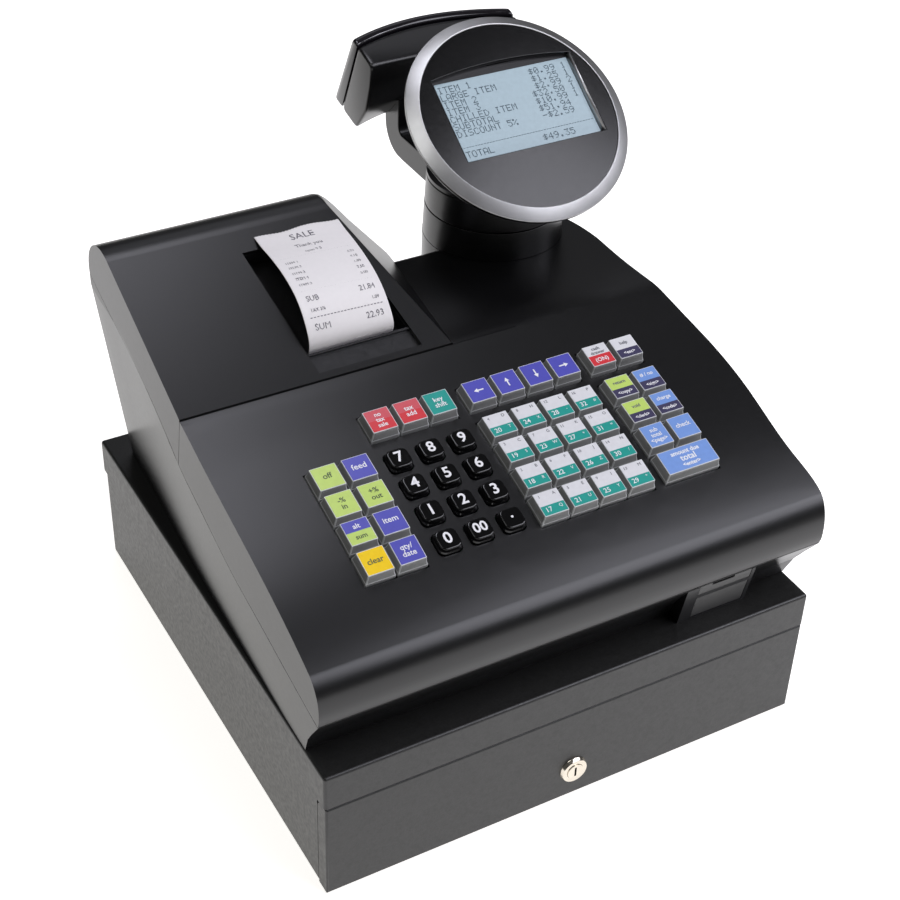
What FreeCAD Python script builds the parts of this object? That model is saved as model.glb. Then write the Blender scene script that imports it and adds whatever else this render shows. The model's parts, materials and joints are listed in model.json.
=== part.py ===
import FreeCAD, Part
import math
import os

# Cash register: a steel drawer cabinet, a moulded key and printer case on top of it, and a swivelling
# display tower with a second display for the customer.
# Lengths are millimetres. The model is laid out with x = 0 at the middle of the cabinet, y = 0 at the
# drawer front and z = 0 at the table; save() then moves it so that the origin is the bottom centre of
# the whole object's box. +X is the keyboard user's right, +Y is away from the user.

V = FreeCAD.Vector

# ---- driving dimensions: cabinet -------------------------------------------------------------
CABINET_WIDTH = 336.0
CABINET_DEPTH = 351.0
CABINET_TOP = 97.0
SKIRT_BOTTOM = 72.2
SHEET = 1.2
FOOT_HEIGHT = 1.0
HALF = CABINET_WIDTH / 2
FRONT_FLANGE = 10.6
SIDE_FRONT = 12.4
FRONT_BOTTOM = 0.8
LOCK_Z = 23.0
LOCK_RADIUS = 9.6
LOCK_FRONT = -2.5
ROLLER_RADIUS = 6.0
AXLE_RADIUS = 2.0
BILL_BAYS = 5
COIN_CUPS = 5
LID_RADIUS = 2.0
RAIL_X = 158.5
RAIL_Z = 46.0
CABINET_ROLLER = (22.0, 30.0)
DRAWER_ROLLER = (306.0, RAIL_Z)
TRAY_REAR = 318.0
TILL_FRONT = 34.0
TILL_SPLIT = 124.0
TILL_REAR = 312.0
TILL_TOP = 58.0
CLIP_ROD = (304.0, 50.0)
LATCH_PIVOT = (340.0, 56.0)
LOCK_BODY_RADIUS = 8.0
LOCK_PLUG_RADIUS = 5.5

# ---- driving dimensions: case ----------------------------------------------------------------
WALL = 2.5
CASE_FOOT_FRONT = 25.6
CASE_FOOT_REAR = 328.0
COVER_FRONT_Y = 189.4
COVER_FRONT_Z = 218.2
COVER_SLOPE = math.radians(24.6)
COVER_REAR_RADIUS = 27.0
COVER_REAR_CENTRE = (307.5, 243.5)
COVER_GAP = 0.4
DECK_REAR_Y = 297.0
DECK_REAR_Z = 214.0
RECESS = [(-75.5, 5.0), (-5.0, 5.0), (-19.0, 101.0), (-86.0, 101.0)]
RECESS_DEPTH = 13.0
SLOT = (21.0, 25.0)
PAPER_X = (-74.6, -16.6)
PAPER_THICK = 0.6
ROLL_CENTRE = (262.0, 202.0)
ROLL_RADIUS = 27.0
PLATEN_CENTRE = (214.0, 195.0)
PLATEN_RADIUS = 7.0
GEAR_MODULE = 1.0
PLATEN_TEETH = 24
PINION_TEETH = 12

FLANK_RADIUS = 20.0
FLANK_SPLIT_X = 8.0
PRINTER_X = (-80.0, -10.0)
PRINTER_BASE_Z = 140.0
MAIN_BOARD_Z = 108.0
DOOR_X = (88.0, 127.0)
PORCH_X = (79.0, 129.6)
DOOR_LOW = (15.8, 98.6)
DOOR_HIGH = (9.3, 129.6)
DOOR_THICK = 2.0
DOOR_PIVOT = (17.0, 100.4)
DOOR_PIN_RADIUS = 1.0
INLET = (20.0, 118.0)
INLET_RADIUS = 6.5
CASE_SCREWS = [(x, y) for x in (-140.0, 140.0) for y in (60.0, 290.0)]
SCREW_RADIUS = 2.0

# ---- driving dimensions: keys ----------------------------------------------------------------
CAP_BASE = 19.2
CAP_TOP = 16.4
CAP_HEIGHT = 7.4
CAP_SKIRT = 4.0
NUMBER_BASE = 15.2
NUMBER_TOP = 13.0
NUMBER_HEIGHT = 5.8
STEM_RADIUS = 3.0
STEM_END = -8.5
ROW_Y = (60.6, 80.6, 100.4, 120.2)
TOP_ROW_Y = 147.3
LEFT_X = (-106.9, -86.5)
NUMBER_X = (-60.0, -38.8, -17.6)
TAX_X = (-59.2, -39.2, -19.2)
ARROW_X = (8.1, 28.3, 48.5, 68.7)
DEPARTMENT_X = (7.7, 27.8, 47.9, 68.0)
TENDER_X = (95.0, 115.2)
TOTAL_CENTRE_X = 105.1
TOTAL_WIDTH = 39.4
KEY_BOARD_DEPTH = 14.0

# ---- driving dimensions: display tower -------------------------------------------------------
TOWER_X = 112.4
TOWER_Y = 309.0
COLUMN_RADIUS = 48.6
COLUMN_BASE_Z = 214.0
COLLAR_Z = (237.0, 257.4)
BOSS_LOW_Z = 118.0
TUBE_RADIUS = 34.0
TUBE_WALL = 3.0
SWIVEL_GAP = 0.3
HEAD_CENTRE = (112.4, 283.7, 309.1)
HEAD_TILT = math.radians(34.0)
BEZEL_RADIUS = 76.8
FACE_RADIUS = 69.4
BEZEL_HEIGHT = 5.6
TILT_AXIS = (309.0, 284.0)
TILT_PIN_RADIUS = 2.5
LCD_U = (-50.0, 52.0)
LCD_V = (-25.0, 35.0)
POD_HALF_LENGTH = 61.6
POD_REAR_SAG = 15.6

HEAD_RIGHT = TOWER_X + BEZEL_RADIUS
POD_REAR = 428.9 + POD_REAR_SAG
ORIGIN = V(-(HEAD_RIGHT - HALF) / 2, -(LOCK_FRONT - 0.5 + POD_REAR) / 2, 0)


# ---- helpers ---------------------------------------------------------------------------------
def box(x0, x1, y0, y1, z0, z1):
    return Part.makeBox(x1 - x0, y1 - y0, z1 - z0, V(x0, y0, z0))


def rod_x(x0, x1, y, z, radius):
    return Part.makeCylinder(radius, x1 - x0, V(x0, y, z), V(1, 0, 0))


def rod_y(y0, y1, x, z, radius):
    return Part.makeCylinder(radius, y1 - y0, V(x, y0, z), V(0, 1, 0))


def rod_z(z0, z1, x, y, radius):
    return Part.makeCylinder(radius, z1 - z0, V(x, y, z0), V(0, 0, 1))


def cone_z(z0, z1, x, y, radius0, radius1):
    return Part.makeCone(radius0, radius1, z1 - z0, V(x, y, z0), V(0, 0, 1))


def join(shapes):
    """Fuse overlapping or touching shapes into one solid."""
    shapes = list(shapes)
    if len(shapes) == 1:
        return shapes[0]
    return shapes[0].multiFuse(shapes[1:]).removeSplitter()


def cut(shape, tools):
    tools = list(tools)
    return shape.cut(tools[0] if len(tools) == 1 else Part.makeCompound(tools))


def group(shapes):
    """Several separate solids in one node."""
    return Part.makeCompound([solid for shape in shapes for solid in shape.Solids])


def prism_x(points, x0, x1):
    """Extrude a closed (y, z) outline along X."""
    corners = [V(x0, y, z) for y, z in points]
    face = Part.Face(Part.makePolygon(corners + corners[:1]))
    return face.extrude(V(x1 - x0, 0, 0))


def fillet_edges(shape, radius, wanted):
    edges = [edge for edge in shape.Edges if wanted(edge.BoundBox)]
    return shape.makeFillet(radius, edges)


def rounded_box(x0, x1, y0, y1, z0, z1, radius):
    """A box with its four upright edges rounded."""
    block = box(x0, x1, y0, y1, z0, z1)
    return fillet_edges(block, radius, lambda b: b.ZLength > (z1 - z0) * 0.9)


def rectangle_wire(width, depth, z):
    a, b = width / 2, depth / 2
    corners = [V(-a, -b, z), V(a, -b, z), V(a, b, z), V(-a, b, z)]
    return Part.makePolygon(corners + corners[:1])


def save(name, shape):
    placed = shape.copy()
    placed.translate(ORIGIN)
    placed.exportStep("parts/%s.step" % name)


# ---- the case's curves -----------------------------------------------------------------------
def deck_height(y):
    """Height of the key deck above the table, up to its crest."""
    return 155.22 + 0.53354 * y - 0.0022534 * y ** 2 + 0.0000063808 * y ** 3


def deck_angle(y):
    return math.atan(0.53354 - 0.0045068 * y + 0.0000191424 * y ** 2)


def on_deck(shape, x, y):
    """Stand a shape, modelled about the origin, on the deck and square to it."""
    placed = shape.copy()
    placed.Placement = FreeCAD.Placement(
        V(x, y, deck_height(y)), FreeCAD.Rotation(V(1, 0, 0), math.degrees(deck_angle(y))))
    return placed


def cover_point(along, above):
    """A (y, z) point given along the printer cover's slope and above its top face."""
    y = COVER_FRONT_Y + along * math.cos(COVER_SLOPE) - above * math.sin(COVER_SLOPE)
    z = COVER_FRONT_Z + along * math.sin(COVER_SLOPE) + above * math.cos(COVER_SLOPE)
    return y, z


def cover_prism(points, grow, h0, h1):
    """A block square to the printer cover's top face, from (x, along) points on that face."""
    corners = []
    for x, along in points:
        middle_x = sum(p[0] for p in points) / len(points)
        middle_s = sum(p[1] for p in points) / len(points)
        side = math.copysign(grow, x - middle_x)
        end = math.copysign(grow, along - middle_s)
        corners.append(V(x + side, *cover_point(along + end, h0)))
    face = Part.Face(Part.makePolygon(corners + corners[:1]))
    low, high = cover_point(0, h0), cover_point(0, h1)
    return face.extrude(V(0, high[0] - low[0], high[1] - low[1]))


def cover_box(x0, x1, s0, s1, h0, h1):
    """A rectangular block aligned with the printer cover's top face."""
    return cover_prism([(x0, s0), (x1, s0), (x1, s1), (x0, s1)], 0, h0, h1)


# The seam between the lower case and what stands on it, seen from the side. On the left it climbs to
# the back of the printer cover, on the right it stays under the deck's rear edge.
SEAM_LEFT = [(6.9, 131.6), (45.0, 139.0), (81.2, 146.8), (125.0, 156.0), (164.8, 169.7), (196.8, 181.5),
             (222.2, 197.0), (252.6, 211.0), (284.5, 222.2), (317.3, 233.6), (335.4, 240.3)]
SEAM_RIGHT = [(6.9, 131.6), (45.0, 139.0), (81.2, 146.8), (125.0, 156.0), (190.0, 168.0), (335.4, 185.0)]
SPLIT_X = 34.0
SEAM_WIDTH = 0.5
SEAM_DEPTH = 1.2

# Stations along the case: y, half width where it stands on the cabinet, and how far the right-hand
# edge of the deck swells out beyond the left-hand one.
FLANK = [(-5.0, 168.0, 0.6), (45.0, 167.0, 8.3), (95.0, 165.6, 9.4), (145.0, 163.9, 7.4), (195.0, 161.8, 0.0),
         (245.0, 158.4, 0.0), (295.0, 155.0, 0.0), (345.0, 151.8, 0.0)]


def drawn_in(points, amount):
    """A closed outline, given clockwise, moved inwards by the same amount on every side."""
    moved = []
    for before, here, after in zip(points[-1:] + points[:-1], points, points[1:] + points[:1]):
        inwards = []
        for start, end in ((before, here), (here, after)):
            length = math.dist(start, end)
            inwards.append(((end[1] - start[1]) / length, (start[0] - end[0]) / length))
        (y0, z0), (y1, z1) = inwards
        reach = amount / (1 + y0 * y1 + z0 * z1)
        moved.append((here[0] + reach * (y0 + y1), here[1] + reach * (z0 + z1)))
    return moved


def outline_face(edges):
    return Part.Face(Part.Wire(Part.sortEdges(edges)[0]))


def arc(a, b, c):
    return Part.Arc(V(0, *a), V(0, *b), V(0, *c)).toShape()


def line(a, b):
    return Part.LineSegment(V(0, *a), V(0, *b)).toShape()


def spline(points):
    curve = Part.BSplineCurve()
    curve.interpolate([V(0, y, z) for y, z in points])
    return curve.toShape()


def deck_face(inset):
    """Side outline of the key case: underside, rounded nose, crowned deck, plateau and back."""
    chin_side = [(CASE_FOOT_FRONT, CABINET_TOP), (21.4, 109.2), (15.6, 118.6)]
    nose = [(7.0, 131.0), (5.3, 138.5), (5.5, 147.0), (8.8, 155.9)]
    deck = [(y, deck_height(y)) for y in (16.3, 40.0, 70.0, 100.0, 130.0, 160.0, 180.0)]
    plateau = [(COVER_FRONT_Y, 217.9), (200.0, 218.6), (214.0, 218.4), (240.0, 217.2), (270.0, 215.6),
               (DECK_REAR_Y, DECK_REAR_Z)]
    back = [(302.2, 211.6), (304.0, 207.0), (CASE_FOOT_REAR, CABINET_TOP)]
    foot, lip, chin, jaw, under_tip, tip, over_tip, *rest = drawn_in(chin_side + nose + deck + plateau + back, inset)
    crown, (shoulder, heel, tail) = rest[:-3], rest[-3:]
    return outline_face([
        line(foot, lip), line(lip, chin), line(chin, jaw), arc(jaw, under_tip, tip),
        arc(tip, over_tip, crown[0]), spline(crown), arc(crown[-1], shoulder, heel), line(heel, tail),
        line(tail, foot)])


def cover_face(inset):
    """Side outline of the printer housing: sloping top, rounded back and rear wall."""
    cy, cz = COVER_REAR_CENTRE
    radius = COVER_REAR_RADIUS - inset
    start_angle = math.pi / 2 + COVER_SLOPE
    start, middle, end = [(cy + radius * math.cos(angle), cz + radius * math.sin(angle))
                          for angle in (start_angle, start_angle / 2, 0.0)]
    front_y = COVER_FRONT_Y + inset
    low = CABINET_TOP + inset
    front = (front_y, start[1] - (start[0] - front_y) * math.tan(COVER_SLOPE))
    tail_y = CASE_FOOT_REAR - inset
    return outline_face([
        line(front, start), arc(start, middle, end), line(end, (tail_y, low)),
        line((tail_y, low), (front_y, low)), line((front_y, low), front)])


def beside_cover(gap):
    """The space to the right of the printer cover's slanting flank."""
    a, b, c = V(15.0, 190.0, 218.0), V(30.5, 300.0, 214.0), V(-14.0, 303.0, 265.0)
    normal = (b - a).cross(c - a).normalize()
    if normal.x < 0:
        normal = normal * -1
    plane = Part.makePlane(600, 600, a - normal * gap, normal)
    middle = plane.CenterOfMass
    plane.translate(a - normal * gap - middle)
    return plane.extrude(normal * 300)


def flank_wedge(side, gap):
    """What is cut off one side so that the lower case draws in towards the cabinet and the back."""
    sections = []
    for y, foot_half, bulge in FLANK:
        seam = interpolate(SEAM_LEFT, y)
        low = 90.0
        half = HALF + (bulge if side > 0 else 0.0)
        slope = (half - foot_half) / (seam - CABINET_TOP)
        inner = foot_half - slope * (CABINET_TOP - low) - gap
        corners = [V(side * inner, y, low), V(side * (half - gap), y, seam)]
        if side > 0:
            corners.append(V(half - gap, y, 320.0))
        corners += [V(side * (HALF + 40), y, corners[-1].z), V(side * (HALF + 40), y, low)]
        sections.append(Part.makePolygon(corners + corners[:1]))
    return Part.makeLoft(sections, True, False)


def interpolate(points, y):
    if y <= points[0][0]:
        return points[0][1]
    for (y0, z0), (y1, z1) in zip(points, points[1:]):
        if y <= y1:
            return z0 + (z1 - z0) * (y - y0) / (y1 - y0)
    return points[-1][1]


def case_body(inset):
    """The whole case as one solid, drawn in by inset on every side."""
    half = HALF - inset
    deck = deck_face(inset)
    deck.translate(V(-half, 0, 0))
    deck = deck.extrude(V(2 * half + 12.0, 0, 0))
    housing = cover_face(inset)
    housing.translate(V(-half, 0, 0))
    housing = housing.extrude(V(half + 32.0 - inset, 0, 0))
    above_deck = box(-400, 400, COVER_FRONT_Y - 20, 500, 150, 400)
    housing = housing.cut(beside_cover(inset).common(above_deck))
    body = deck.fuse(housing)
    for side in (-1, 1):
        body = body.cut(flank_wedge(side, inset))
    body = body.removeSplitter().Solids[0]
    flank = [edge for edge in body.Edges
             if edge.BoundBox.XMin < -15 and edge.BoundBox.XMax > 5 and edge.BoundBox.ZLength > 20
             and edge.BoundBox.ZMax > 260]
    return body.makeFillet(1.0, FLANK_RADIUS - inset, flank)


def under_seam(points, x0, x1):
    """Everything below one seam line."""
    first, last = points[0], points[-1]
    edges = [spline(points), line(last, (420.0, last[1])), line((420.0, last[1]), (420.0, 0.0)),
             line((420.0, 0.0), (-60.0, 0.0)), line((-60.0, 0.0), (-60.0, first[1])),
             line((-60.0, first[1]), first)]
    face = outline_face(edges)
    face.translate(V(x0, 0, 0))
    return face.extrude(V(x1 - x0, 0, 0))


def cover_region(gap):
    """The space that the lift-off printer cover takes up, grown by a clearance."""
    front_top = (COVER_FRONT_Y - gap, COVER_FRONT_Z - 2.0)
    front_low = (SEAM_LEFT[5][0] - gap, SEAM_LEFT[5][1] - gap)
    seam = [(y, z - gap) for y, z in SEAM_LEFT[5:]]
    seam[0] = front_low
    roof = [(420.0, 320.0), (COVER_FRONT_Y - gap, 320.0)]
    edges = [spline(seam), line(seam[-1], (420.0, seam[-1][1])), line((420.0, seam[-1][1]), roof[0]),
             line(roof[0], roof[1]), line(roof[1], front_top), line(front_top, front_low)]
    left = outline_face(edges)
    left.translate(V(-200, 0, 0))
    left = left.extrude(V(200 + FLANK_SPLIT_X, 0, 0))
    flank = prism_x([(COVER_FRONT_Y - gap, 217.9 - gap), (240.0, 215.5 - gap), (300.0, 212.5 - gap),
                     (420.0, 212.5 - gap), (420.0, 320.0), (COVER_FRONT_Y - gap, 320.0)], FLANK_SPLIT_X, 60.0)
    return left.fuse(flank)


def tower_boss():
    """The round back of the case that the display column stands on."""
    low = BOSS_LOW_Z
    knee = low + 32.0
    outer = join([rod_z(knee, COLUMN_BASE_Z, TOWER_X, TOWER_Y, COLUMN_RADIUS),
                  cone_z(low, knee, TOWER_X, TOWER_Y, COLUMN_RADIUS - 24, COLUMN_RADIUS)])
    inner = join([rod_z(knee, COLUMN_BASE_Z + 1, TOWER_X, TOWER_Y, COLUMN_RADIUS - WALL),
                  cone_z(low + 3.5, knee, TOWER_X, TOWER_Y, COLUMN_RADIUS - 24 - WALL, COLUMN_RADIUS - WALL)])
    return outer, inner


# ---- cabinet and drawer ----------------------------------------------------------------------
def make_cabinet():
    inside = HALF - SHEET
    body = box(-inside, inside, SIDE_FRONT, CABINET_DEPTH - SHEET, FOOT_HEIGHT, 92)
    body = fillet_edges(body, LID_RADIUS, lambda b: b.ZLength > 50 and b.YMin > 100)
    hollow = box(-inside + SHEET, inside - SHEET, 0, CABINET_DEPTH - 2 * SHEET, FOOT_HEIGHT + SHEET, 200)
    keeper = box(-12, 12, 22.5, 24, FOOT_HEIGHT + SHEET, 7.5)
    feet = [(x, y) for x in (-148.0, 148.0) for y in (28.0, 323.0)]
    vents = [box(-60 + 10 * i, -56 + 10 * i, CABINET_DEPTH - 6, CABINET_DEPTH + 1, 20, 50) for i in range(5)]
    body = join([cut(body, [hollow]), keeper])
    foot_holes = [rod_z(0, 8, x, y, 1.6) for x, y in feet]
    save("cabinet_body", cut(body, foot_holes + vents))

    lid = box(-HALF, HALF, 0, CABINET_DEPTH, SKIRT_BOTTOM, CABINET_TOP)
    lid = fillet_edges(lid, LID_RADIUS, lambda b: b.ZMin > CABINET_TOP - 1 or b.ZLength > 20)
    under = box(-inside, inside, SHEET, CABINET_DEPTH - SHEET, SKIRT_BOTTOM - 10, CABINET_TOP - SHEET)
    under = fillet_edges(under, LID_RADIUS - SHEET, lambda b: b.ZMin > CABINET_TOP - 2 or b.ZLength > 20)
    screw_holes = [rod_z(80, 120, x, y, SCREW_RADIUS + 0.1) for x, y in CASE_SCREWS]
    save("cabinet_cover", cut(lid, [under] + screw_holes))

    pads = []
    for x, y in feet:
        pad = cone_z(0, FOOT_HEIGHT, x, y, 8.0, 9.5)
        stud = rod_z(FOOT_HEIGHT, FOOT_HEIGHT + 4, x, y, 1.5)
        pads.append(join([pad, stud]))
    save("rubber_feet", group(pads))


def mirrored(shape):
    return shape.mirror(V(0, 0, 0), V(1, 0, 0))


def make_runners():
    wall = HALF - 2 * SHEET
    channel = box(RAIL_X, wall, 13, 345, RAIL_Z - 7.5, RAIL_Z + 7.5)
    groove = box(RAIL_X - 1, wall - 1.4, 12, 346, RAIL_Z - ROLLER_RADIUS - 0.1, RAIL_Z + ROLLER_RADIUS + 0.1)
    tab = box(wall - 1.4, wall, 13, 31, CABINET_ROLLER[1] - 7, RAIL_Z - 7.5)
    axle = rod_x(RAIL_X, wall - 1, *CABINET_ROLLER, AXLE_RADIUS)
    rail = join([cut(channel, [groove]), tab, axle])
    save("drawer_rails", group([rail, mirrored(rail)]))
    for name, (y, z) in (("cabinet_rollers", CABINET_ROLLER), ("drawer_rollers", DRAWER_ROLLER)):
        wheel = rod_x(RAIL_X + 0.4, wall - 1.9, y, z, ROLLER_RADIUS)
        wheel = wheel.makeFillet(0.6, [e for e in wheel.Edges if e.BoundBox.XLength < 0.1])
        wheel = cut(wheel, [rod_x(RAIL_X - 1, wall, y, z, AXLE_RADIUS + 0.05)])
        save(name, group([wheel, mirrored(wheel)]))


def make_drawer():
    side = RAIL_X - 1.5
    tray = box(-side, side, 1.5, TRAY_REAR, 8, 62)
    hollow = box(-side + SHEET, side - SHEET, 1.5 + SHEET, TRAY_REAR - SHEET, 8 + SHEET, 100)
    lock_hole = rod_y(0, 10, 0, LOCK_Z, LOCK_BODY_RADIUS + 0.1)
    cam_slot = box(-6, 14, 25, 31, 0, 12)
    tray = cut(tray, [hollow, lock_hole, cam_slot])
    ledge_z = CABINET_ROLLER[1] + ROLLER_RADIUS + 0.05
    extras = []
    for sign in (-1, 1):
        ledge = box(side, side + 6, 14, TRAY_REAR, ledge_z, ledge_z + 1.5)
        axle = rod_x(side - 1, HALF - 2 * SHEET - 1.6, *DRAWER_ROLLER, AXLE_RADIUS)
        extras += [ledge, axle] if sign > 0 else [mirrored(ledge), mirrored(axle)]
    catch = join([box(-8, 8, TRAY_REAR - 1, TRAY_REAR + 16, 40, 42),
                  box(-8, 8, TRAY_REAR + 14, TRAY_REAR + 16, 42, 46)])
    save("drawer_tray", join([tray, catch] + extras))

    width = HALF - 0.6
    front = box(-width, width, 0, FRONT_FLANGE, FRONT_BOTTOM, SKIRT_BOTTOM - 0.8)
    front = fillet_edges(front, 1.4, lambda b: b.YMax < 0.5)
    front = fillet_edges(front, 5.0, lambda b: b.YMin > 5 and b.ZMin > 60)
    pocket = box(-width + 1.5, width - 1.5, 1.5, 20, FRONT_BOTTOM + 1.5, SKIRT_BOTTOM - 2.3)
    save("drawer_front", cut(front, [pocket, rod_y(-1, 10, 0, LOCK_Z, LOCK_BODY_RADIUS + 0.1)]))
    make_till()
    make_lock()


def make_till():
    half = 149.0
    till = rounded_box(-half, half, TILL_FRONT, TILL_REAR, 9.4, TILL_TOP, 6.0)
    pitch = (2 * half - 4) / BILL_BAYS
    pockets = []
    for i in range(BILL_BAYS):
        x0 = -half + 2 + pitch * i + 1
        x1 = x0 + pitch - 2
        bay = box(x0, x1, TILL_SPLIT + 1, TILL_REAR - 2, 13, 100)
        pockets.append(fillet_edges(bay, 3.0, lambda b: b.ZLength > 50))
    pitch = (2 * half - 4) / COIN_CUPS
    for i in range(COIN_CUPS):
        x0 = -half + 2 + pitch * i + 1
        x1 = x0 + pitch - 2
        cup = box(x0, x1, TILL_FRONT + 2, TILL_SPLIT - 1, 20, 100)
        cup = fillet_edges(cup, 14.0, lambda b: b.ZMax < 21 and b.XLength > 20)
        pockets.append(fillet_edges(cup, 3.0, lambda b: b.ZLength > 50))
    rod_hole = rod_x(-200, 200, *CLIP_ROD, AXLE_RADIUS)
    save("cash_till", cut(till, pockets + [rod_hole]))
    save("clip_rod", rod_x(-half, half, *CLIP_ROD, AXLE_RADIUS))

    clips = []
    for i in range(BILL_BAYS):
        x = -half + 2 + pitch * (i + 0.5)
        y, z = CLIP_ROD
        hub = rod_x(x - 9, x + 9, y, z, 4.5)
        tip_y, tip_z = y - 104, 17.0
        arm = prism_x([(y, z - 4), (tip_y, tip_z), (tip_y, tip_z + 2.2), (y, z + 1)], x - 5, x + 5)
        paddle = prism_x([(tip_y - 3, tip_z - 1), (tip_y + 8, tip_z + 1.0), (tip_y + 8, tip_z + 4.2),
                          (tip_y - 3, tip_z + 2.2)], x - 19, x + 19)
        clips.append(cut(join([hub, arm, paddle]), [rod_x(x - 20, x + 20, y, z, AXLE_RADIUS + 0.05)]))
    save("bill_clips", group(clips))


def make_lock():
    flange = Part.makeCone(LOCK_RADIUS - 1.2, LOCK_RADIUS, -LOCK_FRONT, V(0, LOCK_FRONT, LOCK_Z), V(0, 1, 0))
    barrel = rod_y(0, 26, 0, LOCK_Z, LOCK_BODY_RADIUS)
    save("lock_body", cut(join([flange, barrel]), [rod_y(-10, 40, 0, LOCK_Z, LOCK_PLUG_RADIUS + 0.05)]))
    plug = rod_y(LOCK_FRONT - 0.5, 30, 0, LOCK_Z, LOCK_PLUG_RADIUS)
    key_way = box(-0.7, 0.7, LOCK_FRONT - 1, LOCK_FRONT + 6, LOCK_Z - 3.6, LOCK_Z + 3.6)
    cam = join([box(0, LOCK_Z - 5.0, 26.8, 28.8, LOCK_Z - 4, LOCK_Z + 4), rod_y(26.8, 28.8, 0, LOCK_Z, 6.5)])
    save("lock_plug", join([cut(plug, [key_way]), cam]))


def make_latch():
    rear = CABINET_DEPTH - 2 * SHEET
    pivot_y, pivot_z = LATCH_PIVOT
    cheeks = [box(9 * s - 0.75, 9 * s + 0.75, 332, rear, 50, 90) for s in (-1, 1)]
    coil = rounded_box(-8.3, 8.3, 325, 345, 70, 90, 3.0)
    plunger = rod_z(62.5, 71, 0, 333, 3.0)
    pin = rod_x(-9, 9, pivot_y, pivot_z, 1.5)
    save("latch_solenoid", join(cheeks + [coil, plunger, pin]))
    hub = rod_x(-4, 4, pivot_y, pivot_z, 4.0)
    arm = prism_x([(pivot_y, pivot_z + 3.8), (327, 61), (327, 47.5), (330, 47.5), (331, 56), (pivot_y, pivot_z - 3.8)],
                  -4, 4)
    save("latch_hook", cut(join([hub, arm]), [rod_x(-20, 20, pivot_y, pivot_z, 1.55)]))

    length = rear - TRAY_REAR - 1.0
    coil_path = Part.makeHelix(4.0, length - 2, 7.0)
    wire = Part.Wire(Part.makeCircle(0.7, V(7.0, 0, 0), V(0, 1, 0)))
    spring = Part.Wire(coil_path).makePipeShell([wire], True, True)
    spring.rotate(V(0, 0, 0), V(1, 0, 0), -90)
    spring.translate(V(70, TRAY_REAR + 1.5, 34))
    save("ejector_spring", spring)


# ---- case ------------------------------------------------------------------------------------
def key_openings():
    """The holes in the deck, one for each block of keys and one for each number key."""
    wide, deep = CAP_BASE + 1.0, CAP_BASE + 2.4
    caps = []
    for xs, ys in ((LEFT_X, ROW_Y), (DEPARTMENT_X, ROW_Y), (TENDER_X, ROW_Y[1:]), (TAX_X, (TOP_ROW_Y,)),
                   (ARROW_X, (TOP_ROW_Y,)), (TENDER_X, (TOP_ROW_Y,))):
        caps += [(x, y, wide) for x in xs for y in ys]
    caps.append((TOTAL_CENTRE_X, ROW_Y[0], TOTAL_WIDTH + 1.0))
    holes = []
    for x, y, width in caps:
        holes.append(on_deck(box(-width / 2, width / 2, -deep / 2, deep / 2, -12, 8), x, y))
    small = NUMBER_BASE / 2 + 0.45
    for x in NUMBER_X:
        for y in ROW_Y:
            holes.append(on_deck(rounded_box(-small, small, -small, small, -12, 8, 4.0), x, y))
    return holes


def make_case():
    outer = case_body(0)
    inner = case_body(WALL)
    boss, boss_bore = tower_boss()
    shell = outer.fuse(boss.cut(outer)).cut(inner)
    shell = shell.cut(boss_bore.cut(outer))
    below = under_seam(SEAM_LEFT, -200, SPLIT_X).fuse(under_seam(SEAM_RIGHT, SPLIT_X, 200))
    clear_of_cover = cover_region(COVER_GAP)

    cover = shell.common(cover_region(0)).cut(cover_prism(RECESS, 0, -6, 20))
    save("printer_cover", cover.removeSplitter().Solids[0])

    raised = below.copy()
    raised.translate(V(0, 0, SEAM_WIDTH))
    groove = raised.cut(below).cut(case_body(SEAM_DEPTH))
    upper = shell.cut(below).cut(clear_of_cover).cut(groove)
    cable_hole = rod_z(190, 230, TOWER_X, TOWER_Y - 20, 9)
    upper = cut(upper, key_openings() + [cable_hole])
    save("upper_case", max(upper.Solids, key=lambda solid: solid.Volume))

    lower = shell.common(below).cut(clear_of_cover)
    lower = max(lower.Solids, key=lambda solid: solid.Volume)
    x0, x1 = DOOR_X
    (low_y, low_z), (high_y, high_z) = DOOR_LOW, DOOR_HIGH
    porch = prism_x([(low_y + 0.2, CABINET_TOP), (high_y - 0.5, high_z + 1.4), (high_y + 3, high_z + 6),
                     (40.0, high_z + 6), (40.0, CABINET_TOP)], *PORCH_X).common(below)
    room = prism_x([(low_y - 4, CABINET_TOP + 1.2), (low_y - 4, high_z - 12), (high_y - 1.0, high_z + 0.3),
                    (60.0, high_z + 0.3), (60.0, CABINET_TOP + 1.2)], x0, x1)
    pin_holes = rod_x(x0 - 1.2, x1 + 1.2, *DOOR_PIVOT, DOOR_PIN_RADIUS + 0.05)
    posts = [rod_z(CABINET_TOP + 1, CABINET_TOP + 11, x, y, 4.5) for x, y in CASE_SCREWS]
    printer_posts = [rod_z(CABINET_TOP + 1, PRINTER_BASE_Z, x, y, 4) for x in (-94, 4) for y in (208, 284)]
    board_posts = [rod_z(CABINET_TOP + 1, MAIN_BOARD_Z, x, y, 3) for x in (-120, 40) for y in (50, 150)]
    lower = join([lower, porch] + posts + printer_posts + board_posts)
    screw_holes = [rod_z(90, CABINET_TOP + 12, x, y, SCREW_RADIUS + 0.02) for x, y in CASE_SCREWS]
    inlet_hole = rod_y(300, 360, *INLET, INLET_RADIUS + 0.1)
    save("lower_case", cut(lower, [room, pin_holes, inlet_hole] + screw_holes))
    return outer


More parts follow.
